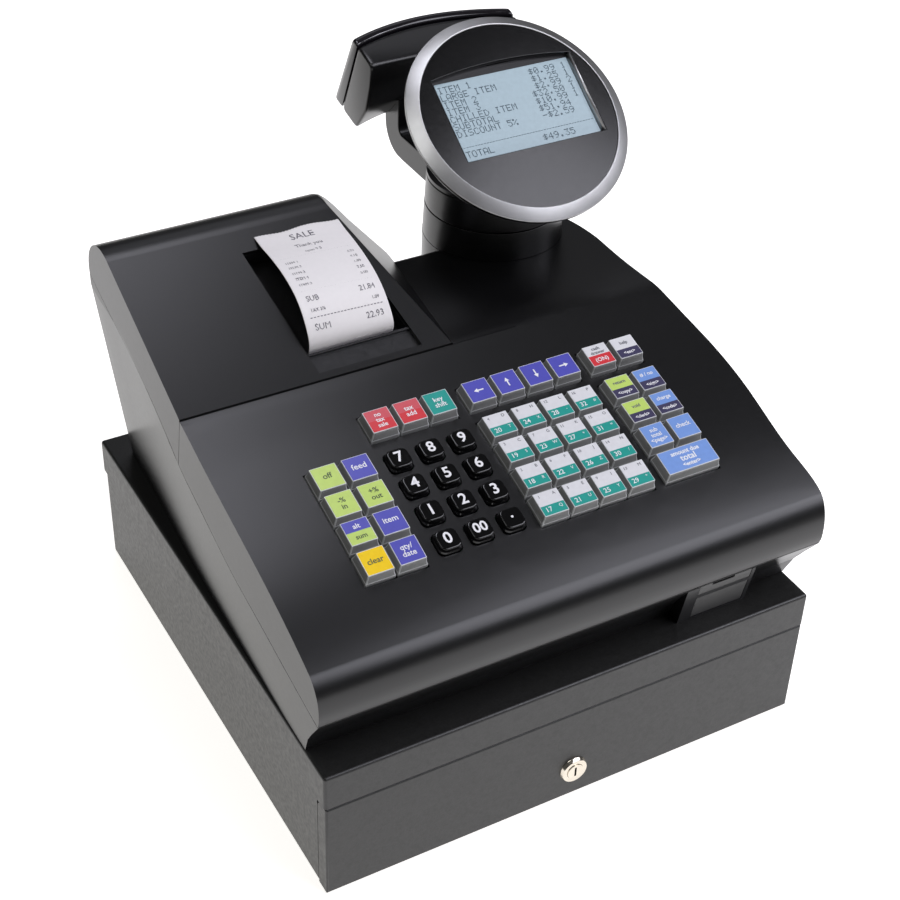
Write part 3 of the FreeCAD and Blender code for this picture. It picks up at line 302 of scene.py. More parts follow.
# ---- materials and softened edges on the CAD nodes -------------------------------------------
node_slot = {subpart["node"]: subpart["material_slot"] for subpart in frame["record"]["subparts"]}
OWN_MATERIAL = {"compartment_door": DOOR_PAINTED_REFLECTION}
WELD_DISTANCE = 0.01 * MM
# how wide the rounding of each node's edges is, in mm
SOFT_EDGES = {"upper_case": 0.7, "lower_case": 0.7, "printer_cover": 0.5, "customer_body": 1.6,
              "customer_arm": 1.0, "cabinet_cover": 0.3, "drawer_front": 0.3, "compartment_door": 0.3,
              "customer_window": 1.2, "display_column": 0.4, "head_shell": 0.5, "tear_bar": 0.3,
              "lock_body": 0.25}
for node_name, node in frame["nodes"].items():
    node.data.materials.clear()
    node.data.materials.append(OWN_MATERIAL.get(node_name, MATERIAL[node_slot[node_name]]))
    if node_name in SOFT_EDGES:
        weld = node.modifiers.new("weld", "WELD")
        weld.merge_threshold = WELD_DISTANCE
        edge = node.modifiers.new("edge", "BEVEL")
        edge.width = SOFT_EDGES[node_name] * MM
        edge.segments = 3
        edge.limit_method = "ANGLE"
        edge.angle_limit = math.radians(35)
        edge.harden_normals = True
        evened = node.modifiers.new("evened", "WEIGHTED_NORMAL")
        evened.keep_sharp = True


# ---- mesh pieces -----------------------------------------------------------------------------
def rounded_rectangle(half_x, half_y, radius, z, steps):
    """A ring of points round a rounded rectangle, anticlockwise from above."""
    ring = []
    for side_x, side_y, start in ((1, 1, 0), (-1, 1, 90), (-1, -1, 180), (1, -1, 270)):
        for step in range(steps + 1):
            angle = math.radians(start + 90 * step / steps)
            ring.append(Vector((side_x * (half_x - radius) + radius * math.cos(angle),
                                side_y * (half_y - radius) + radius * math.sin(angle), z)))
    return ring


class Piece:
    """A mesh built in millimetres in tilted local frames, which then rides on a body."""

    def __init__(self, name, *materials):
        self.name = name
        self.materials = materials
        self.mesh = bmesh.new()

    def loft(self, place, rings, paint=lambda level, side: 0, closed=True):
        """Skins over rings of equally many points. paint picks each face's material."""
        rows = [[self.mesh.verts.new(place @ point) for point in ring] for ring in rings]
        count = len(rows[0])
        for level, (low, high) in enumerate(zip(rows, rows[1:])):
            for side in range(count):
                after = (side + 1) % count
                face = self.mesh.faces.new((low[side], low[after], high[after], high[side]))
                face.material_index = paint(level, side)
        if closed:
            self.mesh.faces.new(rows[0][::-1]).material_index = paint(0, 0)
            self.mesh.faces.new(rows[-1]).material_index = paint(len(rows) - 2, 0)

    def slab(self, place, x0, x1, y0, y1, z0, z1, material=0):
        ring = [Vector((x0, y0, 0)), Vector((x1, y0, 0)), Vector((x1, y1, 0)), Vector((x0, y1, 0))]
        rings = [[Vector((p.x, p.y, z)) for p in ring] for z in (z0, z1)]
        self.loft(place, rings, lambda level, side: material)

    def sheet(self, points):
        """A grid of faces over rows of points that are already in the row frame."""
        rows = [[self.mesh.verts.new(point) for point in row] for row in points]
        for low, high in zip(rows, rows[1:]):
            for i in range(len(low) - 1):
                self.mesh.faces.new((low[i], low[i + 1], high[i + 1], high[i]))

    def patch(self, corners):
        """One face over corners that are already in the row frame."""
        self.mesh.faces.new([self.mesh.verts.new(corner) for corner in corners])

    def add_mesh(self, mesh):
        self.mesh.from_mesh(mesh)
        bpy.data.meshes.remove(mesh)

    def letters(self, place, words, size, thick, weight):
        """Words as thin raised ink on a flat place."""
        mesh = letter_mesh(words, size, thick, weight)
        mesh.transform(place)
        self.add_mesh(mesh)

    def bent_letters(self, warp, words, size, thick, weight=0.0, align="CENTER"):
        """Words as thin raised ink, where warp bends the flat lettering over a curved surface."""
        mesh = letter_mesh(words, size, thick, weight, align)
        for vertex in mesh.vertices:
            vertex.co = warp(vertex.co)
        self.add_mesh(mesh)

    def finish(self, body, slot, sharp_degrees=32.0, replaced=(), skin_mm=0.0, skin_offset=-1.0):
        """Makes the object, rides it on its body and, if asked, thickens it by a skin."""
        data = bpy.data.meshes.new(self.name)
        self.mesh.normal_update()
        self.mesh.to_mesh(data)
        self.mesh.free()
        data.shade_smooth()
        data.set_sharp_from_angle(angle=math.radians(sharp_degrees))
        for material in self.materials:
            data.materials.append(material)
        thing = bpy.data.objects.new(self.name, data)
        bpy.context.scene.collection.objects.link(thing)
        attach(thing, body)
        if replaced:
            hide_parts(*replaced)
        if skin_mm:
            skin = thing.modifiers.new("skin", "SOLIDIFY")
            skin.thickness = skin_mm * MM
            skin.offset = skin_offset


def letter_mesh(words, size, thick, weight, align="CENTER"):
    """Flat letters, made bolder by weight, with a thickness upwards from z 0."""
    curve = bpy.data.curves.new("outline", "FONT")
    curve.body = words
    curve.size = size
    curve.align_x = align
    curve.align_y = "CENTER"
    curve.space_line = 0.95
    curve.offset = weight
    return filled_mesh(curve, thick, 0.0)


def drawn_mesh(outlines, thick, bevel=0.0):
    """Flat outlines, each one inside another being a hole, with a thickness upwards from z 0."""
    curve = bpy.data.curves.new("outline", "CURVE")
    for outline in outlines:
        spline = curve.splines.new("POLY")
        spline.points.add(len(outline) - 1)
        for point, (x, y) in zip(spline.points, outline):
            point.co = (x, y, 0.0, 1.0)
        spline.use_cyclic_u = True
    curve.offset = -bevel
    return filled_mesh(curve, thick, bevel)


def filled_mesh(curve, thick, bevel):
    """The mesh of a filled curve. The curve itself is removed."""
    curve.dimensions = "2D"
    curve.fill_mode = "BOTH"
    curve.extrude = thick / 2 - bevel
    curve.bevel_depth = bevel
    curve.resolution_u = 3
    maker = bpy.data.objects.new("outline", curve)
    bpy.context.scene.collection.objects.link(maker)
    bpy.context.view_layer.update()
    evaluated = maker.evaluated_get(bpy.context.evaluated_depsgraph_get())
    mesh = bpy.data.meshes.new_from_object(evaluated)
    bpy.data.objects.remove(maker)
    bpy.data.curves.remove(curve)
    mesh.transform(Matrix.Translation((0, 0, thick / 2)))
    return mesh


# ---- legend keys -----------------------------------------------------------------------------
# the materials of a block's caps, in the order that key_parts gives them
CAP_SIDE, CAP_EDGE_HIGHLIGHT, CAP_PEDESTAL, CAP_BORDER = range(4)
CAP_SHRINK = (CAP_BASE - CAP_TOP) / 2
# (how far in from the key's sides, height) from the skirt up to the top
CAP_PROFILE = ((0.0, -1.5), (0.0, 1.2), (0.28, 1.6), (0.95, 4.2), (CAP_SHRINK - 0.12, CAP_HEIGHT - 0.32),
               (CAP_SHRINK + 0.3, CAP_HEIGHT))
CAP_RIMS = (1, 4)
PEDESTAL_PROFILE = ((0.5, -4.0), (0.5, 1.0), (1.9, CAP_HEIGHT - 0.9))
PEDESTAL_CORNER = 0.6


def key_rings(profile, width, corner):
    """Rings over a key's rectangle, one for each (inset, height) of the profile."""
    return [rounded_rectangle(width / 2 - inset, CAP_BASE / 2 - inset, corner, height, CAP_CORNER_STEPS)
            for inset, height in profile]


def cap_highlights(level, side):
    """Side faces are smoky; the rims, the corners and the ends get the lighter clear plastic, a painted
    highlight.
    """
    on_corner = side % (CAP_CORNER_STEPS + 1) != CAP_CORNER_STEPS
    on_rim = level in CAP_RIMS
    return CAP_EDGE_HIGHLIGHT if on_corner or on_rim else CAP_SIDE


def card_key(parts, place, cards, width=CAP_BASE):
    """The clear cap with slightly concave sides, the grey pedestal in it and the coloured cards."""
    half_x = CARD / 2 + (width - CAP_BASE) / 2
    half_y = CARD / 2
    parts["caps"].loft(place, key_rings(CAP_PROFILE, width, CAP_CORNER), cap_highlights)
    pedestal = key_rings(PEDESTAL_PROFILE, width, PEDESTAL_CORNER)
    parts["caps"].loft(place, pedestal, lambda level, side: CAP_PEDESTAL)
    border_x, border_y = half_x + CARD_BORDER_WIDTH, half_y + CARD_BORDER_WIDTH
    parts["caps"].slab(place, -border_x, border_x, -border_y, border_y, CAP_HEIGHT - 0.6, CAP_HEIGHT + 0.03,
                       CAP_BORDER)
    low = -half_y
    for share, colour in cards:
        high = low + share * CARD
        parts["cards"][colour].slab(place, -half_x, half_x, low, high, CAP_HEIGHT - 0.4, CAP_HEIGHT + 0.09)
        low = high


ARROW = ((-3.2, -0.45), (0.6, -0.45), (0.6, -1.6), (3.3, 0.0), (0.6, 1.6), (0.6, 0.45), (-3.2, 0.45))


def arrow(piece, place, turn_degrees):
    """An arrow drawn on a key, pointing along +X before it is turned."""
    mesh = drawn_mesh((ARROW,), INK_THICKNESS)
    turn = Matrix.Rotation(math.radians(turn_degrees), 4, "Z")
    mesh.transform(shifted(place, 0, 0, WORDS_HEIGHT) @ turn)
    piece.add_mesh(mesh)


WHOLE_VIOLET = ((1.0, "violet"),)
WHOLE_LIME = ((1.0, "lime"),)
WHOLE_SKY = ((1.0, "sky"),)
RED_AND_ROSE = ((0.5, "red"), (0.5, "rose"))
PLUM_AND_LIME = ((0.42, "plum"), (0.58, "lime"))
PLUM_AND_SKY = ((0.42, "plum"), (0.58, "sky"))
TEAL_AND_WHITE = ((0.42, "teal"), (0.58, "white"))
# each key: x, y, cards from front to back, words, ink, size, and how far up the key the words stand
LEFT_KEYS = (
    (LEFT_X[0], ROW_Y[3], WHOLE_LIME, "off", "dark", 5.4, 0.6),
    (LEFT_X[1], ROW_Y[3], WHOLE_VIOLET, "feed", "white", 5.6, 0.6),
    (LEFT_X[0], ROW_Y[2], WHOLE_LIME, "-%\nin", "dark", 4.9, 0.0),
    (LEFT_X[1], ROW_Y[2], WHOLE_LIME, "+%\nout", "dark", 4.9, 0.0),
    (LEFT_X[0], ROW_Y[1], ((0.52, "lime"), (0.48, "violet")), "alt", "white", 4.6, 3.6),
    (LEFT_X[1], ROW_Y[1], WHOLE_VIOLET, "item", "white", 5.4, 1.0),
    (LEFT_X[0], ROW_Y[0], ((1.0, "yellow"),), "clear", "dark", 5.2, 0.0),
    (LEFT_X[1], ROW_Y[0], WHOLE_VIOLET, "qty/\ndate", "white", 5.0, 0.0))
TOP_KEYS = (
    (TAX_X[0], TOP_ROW_Y, RED_AND_ROSE, "no\ntax\nsale", "white", 4.2, 0.0),
    (TAX_X[1], TOP_ROW_Y, RED_AND_ROSE, "tax\nadd", "white", 4.6, 0.0),
    (TAX_X[2], TOP_ROW_Y, ((1.0, "teal"),), "key\nshift", "white", 4.6, 0.0))
TENDER_KEYS = (
    (TENDER_X[0], TOP_ROW_Y, ((0.5, "red"), (0.5, "white")), "(ON)", "white", 4.2, -4.0),
    (TENDER_X[1], TOP_ROW_Y, ((0.42, "plum"), (0.58, "white")), "<esc>", "white", 3.4, -4.6),
    (TENDER_X[0], ROW_Y[3], PLUM_AND_LIME, "<copy>", "white", 3.4, -4.6),
    (TENDER_X[1], ROW_Y[3], PLUM_AND_SKY, "<sign>", "white", 3.4, -4.6),
    (TENDER_X[0], ROW_Y[2], PLUM_AND_LIME, "<clerk>", "white", 3.2, -4.6),
    (TENDER_X[1], ROW_Y[2], PLUM_AND_SKY, "<code>", "white", 3.4, -4.6),
    (TENDER_X[0], ROW_Y[1], WHOLE_SKY, "sub\ntotal\n<page>", "white", 4.0, 0.0),
    (TENDER_X[1], ROW_Y[1], WHOLE_SKY, "check", "white", 4.4, 1.2))
ARROW_TURNS = (180, 90, 270, 0)


def key_parts(name):
    """The pieces that a block of keys is made of: caps, and cards and words by colour."""
    caps = Piece(name + "_caps", MATERIAL["key_clear"], CLEAR_EDGE_HIGHLIGHT, PEDESTAL, CARD_BORDER)
    cards = {colour: Piece(name + "_cards_" + colour, paper) for colour, paper in CARD_PAPER.items()}
    inks = {colour: Piece(name + "_words_" + colour, ink)
            for colour, ink in (("white", INK_WHITE), ("dark", INK_DARK), ("grey", INK_GREY))}
    return {"caps": caps, "cards": cards, "inks": inks}


def finish_keys(parts, body):
    """Finishes the block's pieces, without the colours that it doesn't use."""
    parts["caps"].finish(body, "key_clear", 50.0, replaced=(body,))
    for piece in list(parts["cards"].values()) + list(parts["inks"].values()):
        if piece.mesh.faces:
            piece.finish(body, "key_clear")
        else:
            piece.mesh.free()


def write_on_key(parts, place, words, ink, size, x, y, weight=0.06):
    parts["inks"][ink].letters(shifted(place, x, y, WORDS_HEIGHT), words, size, INK_THICKNESS, weight)


def word_keys(name, keys):
    parts = key_parts(name)
    for x, y, cards, words, ink, size, words_y in keys:
        place = on_deck(x, y)
        card_key(parts, place, cards)
        write_on_key(parts, place, words, ink, size, 0.0, words_y)
    return parts


left_parts = word_keys("left_keys", LEFT_KEYS)
write_on_key(left_parts, on_deck(LEFT_X[0], ROW_Y[1]), "sum", "dark", 4.4, 0.0, -3.6)
finish_keys(left_parts, "left_function_keys")

top_parts = word_keys("top_keys", TOP_KEYS)
for x, turn in zip(ARROW_X, ARROW_TURNS):
    card_key(top_parts, on_deck(x, TOP_ROW_Y), WHOLE_VIOLET)
    arrow(top_parts["inks"]["white"], on_deck(x, TOP_ROW_Y), turn)
finish_keys(top_parts, "top_row_keys")

tender_parts = word_keys("tender_keys", TENDER_KEYS)
for x, y, words in ((TENDER_X[0], TOP_ROW_Y, "cash\ndrawer"), (TENDER_X[1], TOP_ROW_Y, "help"),
                    (TENDER_X[0], ROW_Y[3], "return"), (TENDER_X[0], ROW_Y[2], "void")):
    write_on_key(tender_parts, on_deck(x, y), words, "grey", 3.4, 0.0, 3.4)
for x, y, words in ((TENDER_X[1], ROW_Y[3], "# / no"), (TENDER_X[1], ROW_Y[2], "charge")):
    write_on_key(tender_parts, on_deck(x, y), words, "white", 3.8, 0.0, 3.4)
finish_keys(tender_parts, "tender_keys")

total_parts = key_parts("total_key")
total_place = on_deck(TOTAL_X, ROW_Y[0])
card_key(total_parts, total_place, WHOLE_SKY, TOTAL_WIDTH)
for words, size, y in (("amount due", 4.2, 4.4), ("total", 6.0, 0.0), ("<enter>", 3.8, -4.6)):
    write_on_key(total_parts, total_place, words, "white", size, 0.0, y, 0.1)
finish_keys(total_parts, "total_key")

department_parts = key_parts("department_keys")
SIGNS = "ABCDEFGHIJKLMNOPQRSTUVWXYZ+-*/=#"
DEPARTMENTS = len(DEPARTMENT_X) * len(ROW_Y)
for column, x in enumerate(DEPARTMENT_X):
    for row, y in enumerate(ROW_Y):
        place = on_deck(x, y)
        # each key stands for two departments: its own, in grey, and a second one in white
        order = len(ROW_Y) * column + row
        second = order + DEPARTMENTS
        card_key(department_parts, place, TEAL_AND_WHITE)
        write_on_key(department_parts, place, str(second + 1), "white", 4.6, -3.6, -4.4, 0.03)
        write_on_key(department_parts, place, SIGNS[second], "white", 3.0, 4.8, -3.6, 0.0)
        write_on_key(department_parts, place, str(order + 1), "grey", 2.8, -5.2, 5.4, 0.0)
        write_on_key(department_parts, place, SIGNS[order], "grey", 3.0, 4.8, 5.4, 0.0)
finish_keys(department_parts, "department_keys")

# ---- number keys -----------------------------------------------------------------------------
# (half width, corner radius, height) from the skirt up to the slightly dished top
NUMBER_PROFILE = ((7.6, 4.4, -4.0), (7.6, 4.4, 0.7), (7.45, 4.3, 1.2), (7.1, 4.0, 1.7), (6.85, 3.9, 2.4),
                  (6.8, 3.8, 4.1), (6.6, 3.7, 4.65), (6.2, 3.4, 4.9), (5.7, 3.0, 4.92), (4.4, 2.4, 4.86),
                  (2.6, 1.4, 4.83))
NUMBER_ROWS = (("0", "00", "point"), ("1", "2", "3"), ("4", "5", "6"), ("7", "8", "9"))
for y, row in zip(ROW_Y, NUMBER_ROWS):
    for x, digits in zip(NUMBER_X, row):
        place = on_deck(x, y)
        node_name = "key_" + digits
        cap = Piece("cap_" + digits, MATERIAL["key_black"])
        cap.loft(place, [rounded_rectangle(half, half, radius, z, 6) for half, radius, z in NUMBER_PROFILE])
        cap.finish(node_name, "key_black", 40.0, replaced=(node_name,))
        digit = Piece("digit_" + digits, INK_WHITE)
        if digits == "point":
            rings = [rounded_rectangle(0.8, 0.8, 0.79, z, 4) for z in (0.0, 0.4)]
            digit.loft(shifted(place, 0, 0.4, 4.6), rings)
        else:
            size = 10.4 if len(digits) == 1 else 9.2
            digit.letters(shifted(place, 0, 0.4, 4.7), digits, size, 0.3, 0.2)
        digit.finish(node_name, "key_black")

# ---- receipt ---------------------------------------------------------------------------------
# (along the cover, above it) from the slot to the torn end, at the strip's left edge
LEFT_EDGE = ((22.4, -10.0), (22.6, 0.0), (25.6, 6.6), (33.0, 12.2), (42.5, 16.6), (53.0, 18.3), (64.5, 17.2),
             (76.0, 14.4), (87.5, 10.2), (99.0, 5.2), (110.0, 1.6))
# the height of the strip's right edge as a share of its left edge's
RIGHT_SAG = 0.74
ROWS_ALONG = 96
COLUMNS_ACROSS = 96
MEASURED_STEPS = 200
TEETH_ACROSS = 26.0
TOOTH_DEPTH, TEAR_WAVE = 0.012, 0.02
INK_LIFT = 0.14
PRINT_THICKNESS = 0.05


def along_edge(points, t):
    """A smooth point at t, from 0 to 1, along a list of points (a Catmull-Rom curve)."""
    spans = len(points) - 1
    i = min(int(t * spans), spans - 1)
    f = t * spans - i
    p0, p1 = points[max(i - 1, 0)], points[i]
    p2, p3 = points[i + 1], points[min(i + 2, spans)]
    return [0.5 * (2 * b + (c - a) * f
                   + (2 * a - 5 * b + 4 * c - d) * f ** 2
                   + (3 * b - a - 3 * c + d) * f ** 3)
            for a, b, c, d in zip(p0, p1, p2, p3)]


def paper_point(across, t, lift=0.0):
    """A point of the strip in the row frame: across from 0, left, to 1, right."""
    s, h = along_edge(LEFT_EDGE, t)
    sag = 1.0 - (1.0 - RIGHT_SAG) * across if h > 0 else 1.0
    curl = 0.5 * math.sin(math.pi * across) * t
    x = PAPER_X[0] + across * PAPER_WIDTH
    return COVER @ Vector((x, s - 0.25 * lift, h * sag + curl + lift))


def paper_lengths():
    """How long the strip's middle line is, in mm, up to each of its measured steps."""
    lengths = [0.0]
    for i in range(1, MEASURED_STEPS + 1):
        step = paper_point(0.5, i / MEASURED_STEPS) - paper_point(0.5, (i - 1) / MEASURED_STEPS)
        lengths.append(lengths[-1] + step.length / MM)
    return lengths


PAPER_LENGTHS = paper_lengths()


def ink_on_paper(point):
    """Bends flat print over the strip: x across from its left edge, y along it from the slot."""
    reach = min(sum(1 for length in PAPER_LENGTHS if length < point.y), MEASURED_STEPS)
    return paper_point(point.x / PAPER_WIDTH, reach / MEASURED_STEPS, INK_LIFT + point.z)


def torn(across):
    """How far along the strip the torn end lies at a place across it."""
    tooth = abs((across * TEETH_ACROSS) % 1.0 - 0.5)
    return 1.0 - TOOTH_DEPTH * tooth - TEAR_WAVE * math.sin(across * 5.0) ** 2


strip = Piece("receipt_paper", MATERIAL["thermal_paper"])
columns = [i / COLUMNS_ACROSS for i in range(COLUMNS_ACROSS + 1)]
strip.sheet([[paper_point(across, torn(across) * row / ROWS_ALONG) for across in columns]
             for row in range(ROWS_ALONG + 1)])
strip.finish("printer_cover", "thermal_paper", 60.0, ("receipt_strip",), skin_mm=0.12, skin_offset=0.0)

# how far along the strip each line stands, what it says, and its size
HEADINGS = ((96.0, "SALE", 8.0), (86.0, "Thank you", 4.4), (79.5, "open 9-5", 3.2))
ENTRIES = (
    (71.0, "ITEM 1", "3.25", 3.0), (66.0, "ITEM 2", "4.10", 3.0), (61.0, "ITEM 3", "1.99", 3.0),
    (56.0, "ITEM 4", "7.50", 3.0), (51.0, "ITEM 5", "5.00", 3.0), (40.5, "SUB", "21.84", 5.0),
    (33.0, "TAX 5%", "1.09", 3.0), (22.5, "SUM", "22.93", 5.6))
MARGIN_LEFT, MARGIN_RIGHT = 0.10 * PAPER_WIDTH, 0.92 * PAPER_WIDTH
DASHED_ROWS = (76.0, 46.0, 28.5)
DASHES = 22
DASH_START = 4.5
DASH_PITCH, DASH_LENGTH, DASH_WIDTH = 2.3, 1.4, 0.35

receipt_print = Piece("receipt_print", printed("ink_print", srgb(118, 116, 122), 0.6, 0.08))


def print_words(words, size, align, x, y):
    """Prints words on the strip, x across from its left edge and y along it from the slot."""
    def on_strip(point):
        return ink_on_paper(Vector((point.x + x, point.y + y, point.z)))

    receipt_print.bent_letters(on_strip, words, size, PRINT_THICKNESS, align=align)


for y, words, size in HEADINGS:
    print_words(words, size, "CENTER", PAPER_WIDTH / 2, y)
for y, item, amount, size in ENTRIES:
    print_words(item, size, "LEFT", MARGIN_LEFT, y)
    print_words(amount, size, "RIGHT", MARGIN_RIGHT, y)
for y in DASHED_ROWS:
    for dash in range(DASHES):
        x = DASH_START + dash * DASH_PITCH
        corners = ((x, y), (x + DASH_LENGTH, y), (x + DASH_LENGTH, y + DASH_WIDTH), (x, y + DASH_WIDTH))
        receipt_print.patch([ink_on_paper(Vector((a, b, PRINT_THICKNESS))) for a, b in corners])
receipt_print.finish("printer_cover", "thermal_paper", 60.0, skin_mm=0.03)

# ---- operator display ------------------------------------------------------------------------
# u runs across the tilted face and v up it, from the head's centre
WINDOW_LEFT, WINDOW_RIGHT = -50.0, 55.2
WINDOW_LOW = -24.6
WINDOW_SHOULDER = 36.6
WINDOW_RISE = 4.7
ARCH_STEPS = 16
GLASS_U = (-47.6, 53.0)
GLASS_V = (-22.8, 35.2)
FRAME_U, FRAME_V = 2.7, 8.0
FRAME_HALF_U, FRAME_HALF_V = 54.5, 33.0


def circle(radius, height, points):
    """A ring of points round the head's axis."""
    angles = [math.tau * i / points for i in range(points)]
    return [Vector((radius * math.cos(angle), radius * math.sin(angle), height)) for angle in angles]


def arch():
    """The window's outline: straight sides and sill under a low arch."""
    centre = (WINDOW_LEFT + WINDOW_RIGHT) / 2
    half = (WINDOW_RIGHT - WINDOW_LEFT) / 2
    outline = [(WINDOW_LEFT, WINDOW_LOW), (WINDOW_RIGHT, WINDOW_LOW)]
    for i in range(ARCH_STEPS + 1):
        u = half - 2 * half * i / ARCH_STEPS
        outline.append((centre + u, WINDOW_SHOULDER + WINDOW_RISE * (1 - (u / half) ** 2)))
    return outline


panel = Piece("display_face", MATERIAL["face_black"])
panel_rim = [(point.x, point.y) for point in circle(FACE_RADIUS, 0.0, 180)]
panel_mesh = drawn_mesh((panel_rim, arch()), FACE_THICKNESS, bevel=0.25)
panel_mesh.transform(shifted(HEAD, 0, 0, FACE_HEIGHT - FACE_THICKNESS))
panel.add_mesh(panel_mesh)
panel.finish("display_head", "face_black", 30.0, replaced=("face_panel",))

frame_piece = Piece("display_frame", MATERIAL["nylon_black"])
frame_piece.loft(shifted(HEAD, FRAME_U, FRAME_V, 0),
                 [rounded_rectangle(FRAME_HALF_U, FRAME_HALF_V, 1.0, z, 2) for z in (-2.6, 0.9)])
frame_piece.finish("display_head", "nylon_black")

glass = Piece("display_glass", MATERIAL["lcd_glass"])
middle_u, half_u = (GLASS_U[0] + GLASS_U[1]) / 2, (GLASS_U[1] - GLASS_U[0]) / 2
middle_v, half_v = (GLASS_V[0] + GLASS_V[1]) / 2, (GLASS_V[1] - GLASS_V[0]) / 2
glass.loft(shifted(HEAD, middle_u, middle_v, 0),
           [rounded_rectangle(half_u - inset, half_v - inset, 0.6, z, 3)
            for inset, z in ((0.0, 0.2), (0.0, GLASS_HEIGHT - 0.1), (0.12, GLASS_HEIGHT))])
glass.finish("display_head", "lcd_glass", replaced=("lcd_module",))

# (radius, height) round the silver ring, from under its rim to where it meets the face
BEZEL_PROFILE = ((71.8, -0.4), (76.4, 0.0), (76.8, 0.3), (76.8, 1.1), (76.6, 1.4), (69.2, 5.5), (68.9, 5.6),
                 (68.4, 5.55), (68.25, 5.3), (68.2, 3.8))
bezel = Piece("display_bezel", MATERIAL["silver_ring"])
bezel.loft(HEAD, [circle(radius, height, 160) for radius, height in BEZEL_PROFILE], closed=False)
bezel.finish("display_head", "silver_ring", 14.0, replaced=("bezel_ring",))

reveal = Piece("window_reveal", MATERIAL["silver_ring"])
reveal.sheet([[HEAD @ Vector((GLASS_U[1] + 0.1, v, GLASS_HEIGHT)),
               HEAD @ Vector((WINDOW_RIGHT - 0.2, v, FACE_HEIGHT - 0.3))]
              for v in (WINDOW_LOW + 0.4, WINDOW_SHOULDER + 0.2)])
reveal.finish("display_head", "silver_ring", skin_mm=0.15)

# the letters of the dot-matrix display, five dots wide, row by row from the top
DOT_LETTERS = {
    "A": (".###.", "#...#", "#...#", "#...#", "#####", "#...#", "#...#"),
    "B": ("####.", "#...#", "#...#", "####.", "#...#", "#...#", "####."),
    "C": (".###.", "#...#", "#....", "#....", "#....", "#...#", ".###."),
    "D": ("###..", "#..#.", "#...#", "#...#", "#...#", "#..#.", "###.."),
    "E": ("#####", "#....", "#....", "####.", "#....", "#....", "#####"),
    "G": (".###.", "#...#", "#....", "#.###", "#...#", "#...#", ".####"),
    "H": ("#...#", "#...#", "#...#", "#####", "#...#", "#...#", "#...#"),
    "I": (".###.", "..#..", "..#..", "..#..", "..#..", "..#..", ".###."),
    "L": ("#....", "#....", "#....", "#....", "#....", "#....", "#####"),
    "M": ("#...#", "##.##", "#.#.#", "#.#.#", "#...#", "#...#", "#...#"),
    "N": ("#...#", "#...#", "##..#", "#.#.#", "#..##", "#...#", "#...#"),
    "O": (".###.", "#...#", "#...#", "#...#", "#...#", "#...#", ".###."),
    "R": ("####.", "#...#", "#...#", "####.", "#.#..", "#..#.", "#...#"),
    "S": (".####", "#....", "#....", ".###.", "....#", "....#", "####."),
    "T": ("#####", "..#..", "..#..", "..#..", "..#..", "..#..", "..#.."),
    "U": ("#...#", "#...#", "#...#", "#...#", "#...#", "#...#", ".###."),
    "0": (".###.", "#...#", "#..##", "#.#.#", "##..#", "#...#", ".###."),
    "1": ("..#..", ".##..", "..#..", "..#..", "..#..", "..#..", ".###."),
    "2": (".###.", "#...#", "....#", "...#.", "..#..", ".#...", "#####"),
    "3": ("#####", "...#.", "..#..", "...#.", "....#", "#...#", ".###."),
    "4": ("...#.", "..##.", ".#.#.", "#..#.", "#####", "...#.", "...#."),
    "5": ("#####", "#....", "####.", "....#", "....#", "#...#", ".###."),
    "9": (".###.", "#...#", "#...#", ".####", "....#", "...#.", ".##.."),
    ".": (".....", ".....", ".....", ".....", ".....", ".##..", ".##.."),
    "$": ("..#..", ".####", "#.#..", ".###.", "..#.#", "####.", "..#.."),
    "-": (".....", ".....", ".....", "#####", ".....", ".....", "....."),
    "%": ("##...", "##..#", "...#.", "..#..", ".#...", "#..##", "...##"),
}
DOT = 0.69
DOT_SIZE = DOT * 0.86
CELL_U = 4.15
LINE_V = 5.5
TOP_LINE_V = 32.6
TOTAL_V = -15.6
TOTAL_CELLS = 9.6
COUNT_CELLS = 2
TEXT_LEFT = GLASS_U[0] + 0.9
TEXT_RIGHT = GLASS_U[1] - 2.4
RULE_V = -12.6
RULE_DASHES = 46
RULE_PITCH, RULE_LENGTH, RULE_WIDTH = 2.15, 1.7, 0.35
SALE_LINES = (("ITEM 1", "$0.99 1"), ("LARGE ITEM", "$1.25 1"), ("ITEM 2", "$2.99 2"), ("ITEM 3", "$32.50 1"),
              ("CHILLED ITEM", "$10.99 1"), ("SUBTOTAL", "$51.94"), ("DISCOUNT 5%", "-$2.59"))

dots = Piece("display_dots", INK_LCD)


def dot(u, v, width=DOT_SIZE, height=DOT_SIZE):
    corners = ((u, v - height), (u + width, v - height), (u + width, v), (u, v))
    dots.patch([HEAD @ Vector((a, b, GLASS_HEIGHT + 0.06)) for a, b in corners])


def dot_text(words, u, v):
    """Words in dots, from their top left corner."""
    for cell, letter in enumerate(words):
        for row, dot_row in enumerate(DOT_LETTERS.get(letter, ())):
            for column, mark in enumerate(dot_row):
                if mark == "#":
                    dot(u + cell * CELL_U + column * DOT, v - row * DOT)


for line, (item, amount) in enumerate(SALE_LINES):
    top = TOP_LINE_V - line * LINE_V
    # an amount without a count after it leaves the count's cells free
    free_cells = 0 if amount[-2] == " " else COUNT_CELLS
    dot_text(item, TEXT_LEFT, top)
    dot_text(amount, TEXT_RIGHT - CELL_U * (len(amount) + free_cells), top)
for dash in range(RULE_DASHES):
    dot(TEXT_LEFT + dash * RULE_PITCH, RULE_V, RULE_LENGTH, RULE_WIDTH)
dot_text("TOTAL", TEXT_LEFT, TOTAL_V)
dot_text("$49.35", TEXT_RIGHT - TOTAL_CELLS * CELL_U, TOTAL_V)
dots.finish("display_head", "lcd_glass", skin_mm=0.04)

# ---- customer display ------------------------------------------------------------------------
POD_HALF_LENGTH = 61.6
POD_BOW = 15.6
POD_STEPS = 20
